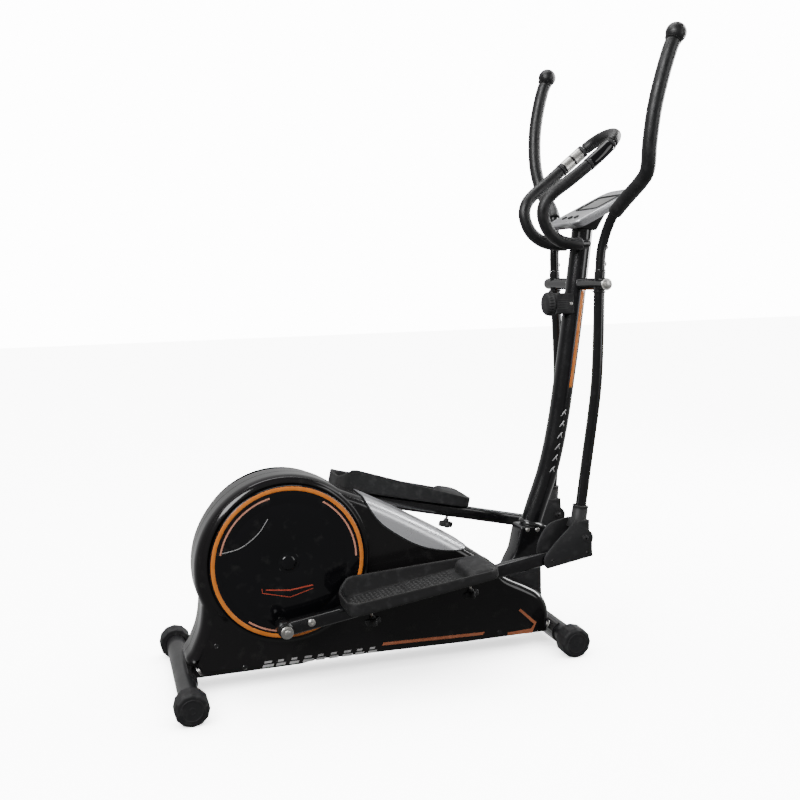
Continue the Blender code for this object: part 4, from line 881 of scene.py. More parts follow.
def rail(label, side):
    """A rounded flat-sided tube, its bearing tube with rings and seals, and the front tongue."""
    here = rail_frame(label)
    front = RAIL_LENGTH - 0.060
    rings = []
    count = 48
    for step in range(count + 1):
        x = 0.010 + (front - 0.010) * step / count
        shrink = 0.0012 if step in (0, count) else 0.0
        ring = rounded_ring(RAIL_W / 2 - shrink, RAIL_H / 2 - shrink, 0.0115, 6)
        rings.append([(x, y, rail_drop(x) + z) for y, z in ring])
    bar_mesh = smooth(skin("rail_tube", rings), 40)
    hub_place = QUARTER_X
    hub = lathe("rail_hub", [(0.0085, 0.0235), (0.0150, 0.0235), (0.0152, 0.0230), (0.0190, 0.0230),
                             (0.0200, 0.0220), (0.0200, 0.0050), (0.0202, 0.0045), (0.0202, -0.0045),
                             (0.0200, -0.0050), (0.0200, -0.0220), (0.0190, -0.0230), (0.0152, -0.0230),
                             (0.0150, -0.0235), (0.0085, -0.0235)], 56, hub_place)
    tongue_line = [(front - 0.03, -0.044), (RAIL_LENGTH, -0.016)] + arc(RAIL_LENGTH, 0, 0.016, -85, 90, 14)
    tongue_line += [(RAIL_LENGTH - 0.02, 0.008), (front - 0.03, -0.018)]
    tongue = settle(slab("rail_tongue", tongue_line, -0.012, 0.012, 0.0015, Matrix.Identity(4)))
    made = moved(smooth(together("rail_%s_tube" % label, [bar_mesh, hub, tongue]), 38), here)
    piece(made, BLACK_PAINT, "rail_" + label, ["rail_" + label])
    seal = lathe("rail_seal_" + label, [(0.0088, 0.0004), (0.0145, 0.0004), (0.0150, -0.0004),
                                        (0.0150, -0.0020),
                                        (0.0088, -0.0020)], 40,
                 here @ Matrix.Translation((0, side * 0.0238, 0))
                 @ Matrix.Rotation(-side * math.pi / 2, 4, "X"))
    piece(seal, BELT, "rail_" + label)
    for number, x in enumerate((0.067, 0.104)):
        if number == 0:
            face = Matrix.Translation((x, side * (RAIL_W / 2 - 0.0006), rail_drop(x) + 0.0035))
            place = here @ face @ Matrix.Rotation(-side * math.pi / 2, 4, "X")
            piece(dome_bolt("rail_bolt_" + label, place, 0.0088, 0.0048, 0.0098), STEEL, "rail_" + label)


# ---------------------------------------------------------------- pedals

PEDAL_START, PEDAL_END = 0.150, 0.550
PEDAL_IN, PEDAL_OUT = 0.100, 0.235
PEDAL_LENGTH, PEDAL_WIDTH = PEDAL_END - PEDAL_START, PEDAL_OUT - PEDAL_IN
PEDAL_TURN = math.atan2(RAIL_DROP_REAR - RAIL_DROP_FRONT, RAIL_LENGTH)


def pedal_frame(label, side):
    """The tray's own frame, on its rail."""
    middle = (PEDAL_START + PEDAL_END) / 2
    lift = rail_drop(middle) + RAIL_H / 2 + 0.0003
    return (rail_frame(label) @ Matrix.Translation((middle, side * ((PEDAL_IN + PEDAL_OUT) / 2 - SIDE_Y),
                                                    lift))
            @ Matrix.Rotation(PEDAL_TURN, 4, "Y"))


def wall_height(x, y, inward):
    """The rim's height: low outside, high inside and to the rear, with a cut-off rear corner."""
    across = 0.5 + inward * y / PEDAL_WIDTH
    along = 0.5 - x / PEDAL_LENGTH
    height = 0.025 + 0.003 * across + (0.010 + 0.027 * across) * along
    corner = 0.034 + 0.80 * (x + PEDAL_LENGTH / 2)
    blend = 0.006
    if corner < height + blend:
        share = min(1.0, max(0.0, (height + blend - corner) / (2 * blend)))
        height = height + (min(corner, height) - height) * share
    return height


def pedal(label, side):
    """The tray: rounded foot, sides with a rolled rim, and a dished floor."""
    inward = -side
    half_x, half_y = PEDAL_LENGTH / 2, PEDAL_WIDTH / 2
    steps = 10

    def ring(shrink, radius, level=None, drop=0.0):
        points = rounded_ring(half_x - shrink, half_y - shrink, max(radius - shrink, 0.004), steps)
        dense = []
        for k, (x, y) in enumerate(points):
            nx, ny = points[(k + 1) % len(points)]
            parts = max(1, round(math.hypot(nx - x, ny - y) / 0.014))
            dense += [(x + (nx - x) * p / parts, y + (ny - y) * p / parts) for p in range(parts)]
        return [(x, y, (wall_height(x, y, inward) - drop) if level is None else level) for x, y in dense]

    base = ring(0.0, 0.030, 0.006)

    def scaled(shrink, level=None, drop=0.0):
        kx, ky = (half_x - shrink) / half_x, (half_y - shrink) / half_y
        return [(x * kx, y * ky, (wall_height(x, y, inward) - drop) if level is None else level)
                for x, y, _ in base]

    rings = [scaled(0.0060, 0.0), scaled(0.0025, 0.0010), scaled(0.0008, 0.0028), scaled(0.0, 0.006),
             scaled(0.0, 0.012), scaled(0.0002, None, 0.0060), scaled(0.0001, None, 0.0022),
             scaled(0.0006, None, 0.0008), scaled(0.0018, None, 0.0), scaled(0.0034, None, 0.0001),
             scaled(0.0048, None, 0.0008), scaled(0.0056, None, 0.0024), scaled(0.0060, None, 0.0060),
             scaled(0.0074, 0.0165), scaled(0.0086, 0.0125), scaled(0.0110, 0.0106), scaled(0.0150, 0.0100)]
    tray = skin("pedal_tray", rings)
    toe_rings = []
    for level, grow, slide in ((0.0095, 0.0, 0.0), (0.020, 0.0, 0.0), (0.0255, 0.0012, 0.0002),
                               (0.0300, 0.0045, -0.001),
                               (0.0332, 0.0090, -0.003), (0.0352, 0.0145, -0.005), (0.0360, 0.0210, -0.007)):
        points = rounded_ring(0.0415 - grow, half_y - 0.0035 - grow, 0.0265 - grow * 0.5, 8)
        toe_rings.append([(x + slide, y, level) for x, y in points])
    toe = moved(skin("pedal_toe", toe_rings), Matrix.Translation((half_x - 0.0455, 0, 0)))
    made = moved(smooth(together("pedal_%s_tray" % label, [tray, toe]), 34), pedal_frame(label, side))
    piece(made, PEDAL, "rail_" + label, ["pedal_" + label])
    pedal_tread(label, side)


def pedal_tread(label, side):
    """Two fields of raised studs with a bar between them, moulded on the tray's floor."""
    here = pedal_frame(label, side)
    half_y = PEDAL_WIDTH / 2 - 0.016
    pitch_x, pitch_y = 0.0105, 0.0150

    def build(bm):
        def stud(x, y, sx, sy, top):
            low = [bm.verts.new((x + a * sx, y + b * sy, 0.0098)) for a,
                   b in ((-1, -1), (1, -1), (1, 1), (-1, 1))]
            mid = [bm.verts.new((x + a * sx * 0.86, y + b * sy * 0.86, top - 0.0006))
                   for a, b in ((-1, -1), (1, -1), (1, 1), (-1, 1))]
            high = [bm.verts.new((x + a * sx * 0.55, y + b * sy * 0.55, top))
                    for a, b in ((-1, -1), (1, -1), (1, 1), (-1, 1))]
            for first, second in ((low, mid), (mid, high)):
                for k in range(4):
                    bm.faces.new((first[k], first[(k + 1) % 4], second[(k + 1) % 4], second[k]))
            bm.faces.new(high)

        for start, stop in ((-0.172, -0.046), (-0.024, 0.094)):
            columns = int((stop - start) / pitch_x)
            for column in range(columns + 1):
                rows = int(2 * half_y / pitch_y)
                for row in range(rows + 1):
                    y = -half_y + row * pitch_y + (pitch_y / 2 if column % 2 else 0)
                    x = start + column * pitch_x
                    if abs(y) < half_y - 0.010 * max(0, (-0.160 - x) / 0.012):
                        stud(x, y, 0.0030, 0.0042, 0.0128)
        stud(-0.035, 0, 0.0018, half_y - 0.004, 0.0138)

    made = moved(new_mesh("pedal_tread_" + label, build), here)
    piece(smooth(made, 30), PEDAL, "rail_" + label)


def pedal_knob(label, end):
    """A four-lobed clamp knob on a threaded stem, under the rail."""
    name = "pedal_knob_%s_%s" % (end, label)
    at = joint_at(name + "_turn")
    here = Matrix.Translation(at) @ rail_frame(label).to_quaternion().to_matrix().to_4x4()
    rings = []
    for level, scale in ((-0.0300, 0.80), (-0.0297, 0.90), (-0.0285, 0.97), (-0.0265, 1.0), (-0.0185, 1.0),
                         (-0.0160, 0.95), (-0.0145, 0.82), (-0.0138, 0.62), (-0.0130, 0.50), (-0.0105, 0.46),
                         (-0.0075, 0.45)):
        ring = []
        for k in range(72):
            turn = k * math.tau / 72
            lobe = 0.0165 + 0.0045 * math.cos(4 * turn) if scale > 0.6 else 0.0165
            ring.append((scale * lobe * math.cos(turn), scale * lobe * math.sin(turn), level))
        rings.append(ring)
    body = moved(smooth(skin(name + "_head", rings), 40), here)
    piece(body, COVER, name, [name])
    thread = [(0, 0.0)]
    for k in range(9):
        thread += [(0.0042, -0.0004 - k * 0.0009), (0.0036, -0.0008 - k * 0.0009)]
    thread += [(0.0, -0.0086)]
    piece(lathe(name + "_stem", thread, 24, here), STEEL, name)


# ---------------------------------------------------------------- swinging arms

ARM_PATH = [(0.000, 0.000), (0.005, -0.130), (0.007, -0.250), (0.002, -0.340),
            (-0.008, -0.450), (-0.0195, -0.580), (-0.0240, -0.627)]
SPLIT_Z = 0.034
SLEEVE_TOP_Z = -0.588
JOINT_X, JOINT_Z = -0.014, -0.674
HANDLE_PATH = [(0.000, 0.000, SPLIT_Z), (0.000, 0.000, 0.080), (0.004, 0.004, 0.115),
               (0.009, 0.013, 0.148), (0.016, 0.030, 0.182), (0.025, 0.074, 0.219),
               (0.031, 0.128, 0.255), (0.032, 0.154, 0.283), (0.025, 0.169, 0.345),
               (0.027, 0.177, 0.420), (0.038, 0.181, 0.490), (0.056, 0.181, 0.560),
               (0.071, 0.179, 0.597)]
GRIP_START = 4


def arm_frame(label):
    """The arm's own frame, from its axle and its joint bolt."""
    axle, joint = joint_at("arm_%s_swing" % label), joint_at("joint_%s_turn" % label)
    lean = math.atan2(axle.x - joint.x, axle.z - joint.z) - math.atan2(-JOINT_X, -JOINT_Z)
    return Matrix.Translation(axle) @ Matrix.Rotation(lean, 4, "Y")


def swing_arm(label, side):
    """The lower arm: its tube, its pivot sleeve and the weld between them."""
    here = arm_frame(label)
    run = catmull([(0, 0, SPLIT_Z - 0.0003), (0, 0, 0.012)] + [(x, 0, z) for x, z in ARM_PATH], 10)
    shaft = tube("arm_shaft", run, ARM_TUBE_R, sides=36, pitch=0.010)
    turn = Matrix.Rotation(-side * math.pi / 2, 4, "X")
    reach = SIDE_Y - MAST_R - 0.004
    sleeve = lathe("arm_sleeve", [(0.0103, 0.0380), (0.0150, 0.0380), (0.0160, 0.0370)]
                   + [(0.0160, 0.036 - (reach + 0.034) * k / 10) for k in range(1, 10)]
                   + [(0.0160, -reach + 0.001), (0.0150, -reach), (0.0103, -reach)], 48, turn)
    weld = lathe("arm_weld", [(0.0161, 0.0), (0.0178, 0.0012), (0.0174, 0.0030), (0.0160, 0.0046),
                              (0.0150, 0.0046),
                              (0.0150, 0.0)], 48,
                 Matrix.Translation((0, 0, -0.0175)) @ Matrix.Rotation(math.pi, 4, "X"))
    made = moved(smooth(together("arm_%s_lower" % label, [shaft, sleeve, weld]), 38), here)
    piece(made, BLACK_PAINT, "arm_" + label, ["swing_arm_" + label])


def handle(label, side):
    """The upper tube with its seam ring and two screws, and the foam grip with its ball end."""
    here = arm_frame(label)
    run = catmull([(x, side * y, z) for x, y, z in HANDLE_PATH], 10)
    made = tube("handle_%s_tube" % label, run, HANDLE_R, 0.0, run_length(run) - 0.004, 36, 0.007)
    piece(moved(made, here), BLACK_PAINT, "arm_" + label, ["handle_" + label])
    ring = lathe("handle_ring_" + label, [(0.0131, 0.0036), (0.0146, 0.0034), (0.0150, 0.0026),
                                          (0.0150, 0.0010),
                                          (0.0146, 0.0002), (0.0131, 0.0)], 48,
                 here @ Matrix.Translation((0, 0, SPLIT_Z + 0.0006)))
    piece(ring, BLACK_PAINT, "arm_" + label)
    for number, z in enumerate((0.053, 0.097)):
        centre = point_on(run, z - SPLIT_Z)[0]
        place = here @ Matrix.Translation(centre + Vector((HANDLE_R - 0.0006, 0,
                                                           0))) @ Matrix.Rotation(math.pi / 2, 4, "Y")
        piece(dome_bolt("handle_screw_%s_%d" % (label, number + 1), place, 0.0058, 0.0042, 0.0066), STEEL,
              "arm_" + label)
    grip_run = run[10 * GRIP_START:]
    length = run_length(grip_run)
    stops = [(0.0, HANDLE_R + 0.0010), (0.0002, GRIP_R - 0.0032), (0.0012, GRIP_R - 0.0012),
             (0.0032, GRIP_R - 0.0002)]
    stops += [(0.004 + (length - 0.014) * k / 48, GRIP_R + 0.00018 * math.sin(k * 2.3)) for k in range(49)]
    stops += [(length - 0.006, GRIP_R), (length - 0.001, GRIP_R - 0.0006)]
    foam = bar("grip_%s_foam" % label, grip_run, stops, 40)
    tip = grip_run[-1] + Vector((0.002, 0, 0.008))
    axis = (grip_run[-1] - grip_run[-6]).normalized()
    ball = []
    for k in range(25):
        turn = math.pi * k / 24
        radius = BALL_R * math.sin(turn)
        if k == 24:
            radius = 0
        ball.append((max(radius, 0), BALL_R * math.cos(turn)))
    ball[0] = (0, BALL_R)
    seat = axis.to_track_quat("Z", "Y").to_matrix().to_4x4()
    knob = lathe("grip_ball", ball, 48, Matrix.Translation(tip) @ seat)
    collar = lathe("grip_collar", [(0.0150, -0.0205), (0.0205, -0.0200), (0.0212, -0.0190), (0.0205, -0.0180),
                                   (0.0150, -0.0175)], 48, Matrix.Translation(tip) @ seat)
    made = moved(smooth(together("grip_%s_sleeve" % label, [foam, knob, collar]), 50), here)
    piece(made, FOAM, "arm_" + label, ["grip_" + label])


# ---------------------------------------------------------------- joint covers

def joint_cover(label, side):
    """Two moulded cheeks that hold the rail's tongue, under a ribbed sleeve for the arm."""
    joint = joint_at("joint_%s_turn" % label)
    here = Matrix.Translation(joint) @ arm_frame(label).to_quaternion().to_matrix().to_4x4()
    slope = (ARM_PATH[-2][0] - ARM_PATH[-1][0]) / (ARM_PATH[-2][1] - ARM_PATH[-1][1])
    axis_x = (ARM_PATH[-2][0] + ARM_PATH[-1][0]) / 2 - JOINT_X - 0.0007
    axis_z = (ARM_PATH[-2][1] + ARM_PATH[-1][1]) / 2 - JOINT_Z
    top = SLEEVE_TOP_Z - JOINT_Z

    def along(z, offset=0.0):
        return axis_x + slope * (z - axis_z) + offset

    def rounded(points):
        return [(p.x, p.z) for p in catmull([(x, 0, z) for x, z in points], 5)]

    def bore_tool(radius):
        return lathe("bore_tool", [(radius, 0.03), (radius, -0.065), (0, -0.065), (0, 0.03)], 40,
                     Matrix.Translation((along(0.045), 0, 0.045)) @ Matrix.Rotation(math.atan(slope), 4, "Y"))

    rear, front = along(0.048, -0.0212), along(0.046, 0.0207)
    bottom = [(-0.106, -0.0785), (0.0255, -0.0495), (0.0225, -0.030), (0.0215, -0.012)]
    boss = arc(0, 0, 0.0236, -20, 62, 10)
    outer = rounded([(rear, 0.050), (-0.045, 0.034), (-0.080, -0.002), (-0.104, -0.030), (-0.114, -0.044)])
    outer += [(-0.1165, -0.056), (-0.1150, -0.070)] + bottom + boss + [(front, 0.040), (front, 0.050)]
    inner = rounded([(rear, 0.050), (-0.060, 0.0425), (-0.084, 0.0340), (-0.100, 0.0180), (-0.1105, 0.0),
                     (-0.1180, -0.020), (-0.1195, -0.040)])
    inner += [(-0.1165, -0.056), (-0.1150, -0.070)] + bottom + boss + [(front, 0.040), (front, 0.050)]
    plates = []
    for outline, low, high in ((outer, 0.0181, 0.0236), (inner, -0.0236, -0.0181)):
        low, high = sorted((side * low, side * high))
        plates.append(settle(slab("cheek", outline, low, high, 0.0012, Matrix.Identity(4))))
    nose = slab("nose", [(0.0185, -0.0475), (0.0250, -0.0492), (0.0222, -0.030), (0.0212, -0.010),
                         (0.0236, 0.0),
                         *arc(0, 0, 0.0232, 0, 60, 6), (front - 0.001, 0.0405), (front - 0.006, 0.042),
                         (0.0095, 0.020),
                         *arc(0, 0, 0.0196, 60, 0, 5)], -0.0185, 0.0185, 0.0006, Matrix.Identity(4))
    carve(nose, bore_tool(0.0185))
    plates.append(nose)
    roof = slab("roof", [(rear - 0.006, 0.0275), (front - 0.001, 0.0275), (front - 0.001, 0.0495),
                         (rear + 0.001, 0.0495)],
                -0.0230, 0.0230, 0.0010, Matrix.Identity(4))
    carve(roof, bore_tool(0.0180))
    plates.append(roof)
    sleeve_place = Matrix.Translation((along(top), 0, top)) @ Matrix.Rotation(math.atan(slope), 4, "Y")
    height = top - 0.030
    profile = [(0.0177, 0.0), (0.0202, 0.0), (0.0212, -0.0010), (0.0212, -0.0045), (0.0204, -0.0055),
               (0.0204, -0.0090), (0.0210, -0.0100), (0.0210, -height), (0.0180, -height), (0.0180, -0.004)]
    plates.append(lathe("sleeve", profile, 56, sleeve_place))
    made = moved(smooth(together("joint_cover_%s_shell" % label, plates), 34), here)
    piece(made, COVER, "cover_" + label, ["joint_cover_" + label])
    for end, y in (("outer", side * 0.0238), ("inner", -side * 0.0238)):
        turn = Matrix.Rotation(-math.copysign(math.pi / 2, y), 4, "X")
        bolt = dome_bolt("joint_bolt_%s_%s" % (label, end), here @ Matrix.Translation((0, y, 0)) @ turn,
                         0.0088, 0.0052, 0.0112)
        piece(bolt, COVER, "cover_" + label)
    shank = lathe("joint_shank_" + label, [(0, 0.024), (0.006, 0.024)]
                  + [(0.006, 0.024 - 0.004 * k) for k in range(1, 12)]
                  + [(0.006, -0.024), (0, -0.024)], 32, here @ QUARTER_X)
    piece(shank, STEEL, "cover_" + label, ["joint_bolt_" + label])
    for number, (x, z) in enumerate(((-0.092, -0.058), (0.010, -0.040))):
        place = here @ Matrix.Translation((x, side * 0.0238, z)) @ Matrix.Rotation(-side * math.pi / 2, 4,
                                                                                   "X")
        screw = lathe("cover_screw_%s_%d" % (label, number + 1),
                      [(0, -0.0002), (0.0020, -0.0002), (0.0026, 0.0006), (0.0038, 0.0006), (0.0044, 0.0),
                       (0.0044, -0.001),
                       (0, -0.001)], 28, place)
        piece(screw, BLACK_PAINT, "cover_" + label)


# ---------------------------------------------------------------- mast and its foot

def mast_path():
    """The mast's bent middle line."""
    return [(0.929, 0, 0.190), (0.970, 0, 0.345), (1.018, 0, 0.478), (1.048, 0, 0.600), (1.072, 0, 0.745),
            (1.092, 0, 0.880), (1.107, 0, 0.993), (1.119, 0, 1.085), (1.1255, 0, 1.140)]


def mast_at(height):
    """The mast's centre and direction at a height."""
    run = catmull(mast_path(), 12)
    for below, above in zip(run, run[1:]):
        if below.z <= height <= above.z:
            return below + (above - below) * ((height - below.z)
                                              / (above.z - below.z)), (above - below).normalized()
    return run[-1], (run[-1] - run[-2]).normalized()


def mast():
    """The mast's tube and its collar at the socket."""
    run = catmull(mast_path(), 12)
    made = tube("mast_tube", run, MAST_R, sides=48, pitch=0.010)
    piece(moved(made, TO_WORLD), BLACK_PAINT, "frame", ["mast"])
    centre, direction = mast_at(0.337)
    seat = TO_WORLD @ Matrix.Translation(centre) @ direction.to_track_quat("Z", "Y").to_matrix().to_4x4()
    collar = lathe("mast_collar", [(0.0288, 0.0060), (0.0302, 0.0058), (0.0330, 0.0030), (0.0345, 0.0004),
                                   (0.0345, -0.0040), (0.0288, -0.0040)], 64, seat)
    piece(collar, BLACK_PAINT, "frame")


def on_mast(height):
    """The mast's middle at this height, and the direction of its front."""
    centre, direction = mast_at(height)
    side_y = Vector((0, 1, 0))
    front = side_y.cross(direction).normalized()
    if front.x < 0:
        front = -front
    return centre, front


def mast_band(name, spans, paint):
    """Strips wrapped on the mast: each span is (low, high, first turn, last turn, lean)."""
    for label, side in SIDES.items():
        def build(bm):
            for low, high, start, stop, lean in spans:
                rows = []
                count = max(3, round((high - low) / 0.008))
                for k in range(count + 1):
                    height = low + (high - low) * k / count
                    centre, front = on_mast(height)
                    row = []
                    for step in range(5):
                        turn = math.radians(start + (stop - start) * step / 4 + lean * k / count)
                        out = math.cos(turn) * Vector((0, side, 0)) + math.sin(turn) * front
                        row.append(bm.verts.new(centre + (MAST_R + 0.00035) * out))
                    rows.append(row)
                for first, second in zip(rows, rows[1:]):
                    for step in range(4):
                        bm.faces.new((first[step], first[step + 1], second[step + 1], second[step]))
            bmesh.ops.recalc_face_normals(bm, faces=bm.faces)
        made = new_mesh("%s_%s" % (name, label), build)
        skin_depth = made.modifiers.new("depth", "SOLIDIFY")
        skin_depth.thickness = 0.0003
        skin_depth.offset = 0
        piece(moved(smooth(made), TO_WORLD), paint, "frame")


def mast_print():
    """The mast's stripe and slanted strokes."""
    mast_band("mast_stripe", [(0.712, 0.978, 9, 30, 0)], ORANGE)
    strokes = []
    for k in range(6):
        base = 0.478 + 0.031 * k
        strokes.append((base, base + 0.019, -16, -9, 20))
        strokes.append((base + 0.004, base + 0.015, 10, 15, -12))
    mast_band("mast_marks", strokes, PALE)


def mast_socket():
    """The welded foot post: softened sides, a gusset lip and the clamp bolts."""
    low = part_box("mast_socket")[0].z
    rear = catmull([(0.925, 0, 0.3355), (0.918, 0, 0.305), (0.908, 0, 0.266), (0.893, 0, 0.238),
                    (0.884, 0, 0.215),
                    (0.877, 0, 0.170), (0.8735, 0, low)], 5)
    front = catmull([(0.957, 0, low), (0.9645, 0, 0.170), (0.976, 0, 0.250), (0.988, 0, 0.290),
                     (1.0025, 0, 0.332)], 5)
    outline = [(p.x, p.z) for p in rear] + [(p.x, p.z) for p in front]
    body = slab("socket_body", outline, -0.032, 0.032, 0.0, Matrix.Identity(4))
    edge = soften(body, 0.007, 5, 50)
    settle(edge)
    run = catmull([(0.916, 0, 0.130), (0.929, 0, 0.190)] + mast_path()[1:6], 10)
    tool = tube("socket_tool", run, MAST_R + 0.0004, sides=40, pitch=0.012)
    carve(body, tool)
    piece(moved(smooth(body, 35), TO_WORLD), BLACK_PAINT, "frame", ["mast_socket"])
    for label, side in SIDES.items():
        for number, (x, z) in enumerate(((0.943, 0.3250), (0.972, 0.3225))):
            place = facing(side, x, z, 0.0318)
            piece(dome_bolt("socket_bolt_%s_%d" % (label, number + 1), place, 0.0052, 0.0036, 0.0064), STEEL,
                  "frame")


def neck_cover():
    """The moulded collar round the post, with two seams."""
    rings = []
    levels = [(0.1345, 0.0), (0.150, 0.0), (0.1560, 0.0), (0.1568, -0.0009), (0.1582, -0.0009), (0.1590, 0.0),
              (0.175, 0.0), (0.190, 0.0), (0.2060, 0.0), (0.2068, -0.0009), (0.2082, -0.0009), (0.2090, 0.0),
              (0.230, 0.0), (0.250, 0.0), (0.2565, -0.0003), (0.258, -0.0012)]
    for z, grow in levels:
        share = (z - 0.1345) / (0.258 - 0.1345)
        x, half_x, half_y = 0.925 + 0.003 * share, 0.059 - 0.003 * share, 0.040 - 0.003 * share ** 0.6
        fall = 0.40 * max(0.0, (share - 0.45) / 0.55)
        ring = rounded_ring(half_x + grow, half_y + grow, 0.010, 7, x)
        rings.append([(px, py, z - fall * (x + half_x - px)) for px, py in ring])
    inner = []
    for ring in (rings[-1], rings[0]):
        cx = sum(p[0] for p in ring) / len(ring)
        inner.append([(cx + (px - cx) * 0.955, py * 0.935, pz) for px, py, pz in ring])
    made = skin("neck_cover_shell", rings + inner + [rings[0]], caps=False)
    bm = bmesh.new()
    bm.from_mesh(made.data)
    bmesh.ops.remove_doubles(bm, verts=bm.verts, dist=1e-6)
    bmesh.ops.recalc_face_normals(bm, faces=bm.faces)
    bm.to_mesh(made.data)
    bm.free()
    piece(moved(smooth(made, 35), TO_WORLD), COVER, "frame", ["neck_cover"])


# ---------------------------------------------------------------- handlebar loop

def loop_half(side):
    """One side of the fixed handlebar's path, from the mast to the top."""
    return [(1.118, side * 0.0435, 1.100), (1.076, side * 0.046, 1.101), (1.034, side * 0.051, 1.109),
            (0.998, side * 0.055, 1.136), (0.981, side * 0.058, 1.176), (0.986, side * 0.062, 1.208),
            (1.008, side * 0.068, 1.234), (1.054, side * 0.076, 1.268), (1.107, side * 0.081, 1.309),
            (1.150, side * 0.080, 1.344), (1.180, side * 0.070, 1.370), (1.200, side * 0.043, 1.388),
            (1.207, 0, 1.394)]


def handlebar():
    """The bent loop with its mast clamp, foam, pulse plates and cuffs."""
    path = loop_half(-1) + list(reversed(loop_half(1)))[1:]
    run = catmull(path, 10)
    bar_mesh = tube("loop_bar", run, LOOP_R, sides=28, pitch=0.008)
    cross = lathe("loop_clamp", [(0, 0.0470), (0.0060, 0.0466), (0.0105, 0.0450), (0.0120, 0.0420),
                                 (0.0120, 0.0),
                                 (0.0120, -0.0420), (0.0105, -0.0450), (0.0060, -0.0466), (0, -0.0470)], 40,
                  Matrix.Translation(Vector((1.118, 0, 1.100))) @ QUARTER_X)
    made = moved(smooth(together("handlebar_tube", [bar_mesh, cross]), 40), TO_WORLD)
    piece(made, BLACK_PAINT, "frame", ["fixed_handlebar"])
    for label, side in SIDES.items():
        half = catmull(loop_half(side), 10)
        marks = [run_length(half[:10 * k + 1]) for k in range(13)]
        foam_stops = round_sleeve(marks[0] + 0.018, marks[8] - 0.0085, LOOP_FOAM_R, LOOP_R + 0.0006)
        foam = bar("handlebar_foam_%s_sleeve" % label, half, foam_stops, 32)
        piece(moved(foam, TO_WORLD), FOAM, "frame", ["handlebar_foam_" + label])
        first, last = marks[8], marks[9] + 0.018
        shell = bar("pulse_body_" + label, half,
                    round_sleeve(first, last, LOOP_FOAM_R + 0.0008, LOOP_R + 0.0006, 0.0010), 40)
        piece(moved(shell, TO_WORLD), DISC, "frame", ["pulse_sensor_" + label])
        for number, (start, stop) in enumerate(((first + 0.004, (first + last) / 2 - 0.003),
                                                ((first + last) / 2 + 0.003, last - 0.004))):
            plate = inner_plate("pulse_plate_%s_%d" % (label, number + 1), half, start, stop, side)
            piece(moved(plate, TO_WORLD), STEEL, "frame")
        for number, at in enumerate((first - 0.004, last + 0.004)):
            cuff = bar("pulse_cuff_%s_%d" % (label, number + 1), half,
                       round_sleeve(at - 0.004, at + 0.004, LOOP_FOAM_R + 0.0012, LOOP_R + 0.0006, 0.0008),
                       40)
            piece(moved(cuff, TO_WORLD), COVER, "frame")
    top = catmull(loop_half(-1)[8:] + list(reversed(loop_half(1)[8:]))[1:], 10)
    length = run_length(top)
    first = run_length(catmull(loop_half(-1)[8:10], 10)) + 0.030
    crown = bar("handlebar_foam_top", top, round_sleeve(first, length - first, LOOP_FOAM_R - 0.0002,
                                                        LOOP_R + 0.0006), 32)
    piece(moved(crown, TO_WORLD), FOAM, "frame")


def inner_plate(name, path, start, stop, side):
    """A pressed metal plate wrapped round the tube's inward side, between two lengths along it."""
    def build(bm):
        rows = []
        for k in range(11):
            centre, direction = point_on(path, start + (stop - start) * k / 10)
            inward = Vector((0, -side, 0))
            inward = (inward - direction * inward.dot(direction)).normalized()
            across = direction.cross(inward)
            rows.append([bm.verts.new(centre + (LOOP_FOAM_R + 0.0011)
                                      * (math.cos(turn) * inward + math.sin(turn) * across))
                         for turn in (math.radians(-80 + 10 * step) for step in range(17))])
        for first, second in zip(rows, rows[1:]):
            for step in range(16):
                bm.faces.new((first[step], first[step + 1], second[step + 1], second[step]))
        bmesh.ops.recalc_face_normals(bm, faces=bm.faces)

    made = new_mesh(name, build)
    wall = made.modifiers.new("wall", "SOLIDIFY")
    wall.thickness = 0.0008
    wall.offset = 0
    return smooth(settle(made), 40)


def round_sleeve(start, stop, radius, inner, edge=0.0022):
    """Stops for a sleeve whose ends roll down to the bar inside it."""
    stops = [(start, inner), (start + 0.0001, radius - edge), (start + edge * 0.35, radius - edge * 0.35),
             (start + edge, radius)]
    count = max(2, round((stop - start) / 0.007))
    stops += [(start + edge + (stop - start - 2 * edge) * k / count, radius) for k in range(1, count)]
    return stops + [(stop - edge, radius), (stop - edge * 0.35, radius - edge * 0.35),
                    (stop - 0.0001, radius - edge), (stop, inner)]


# ---------------------------------------------------------------- console

CONSOLE_SLOPE = math.radians(25.6)
CONSOLE_T = 0.026


def console_frame():
    """The console's own frame: X up its face, Y across it, Z out of the face."""
    face = Vector((DATUM_X + 1.153, 0, 1.203))
    return Matrix.Translation(face) @ Matrix.Rotation(-CONSOLE_SLOPE, 4, "Y")


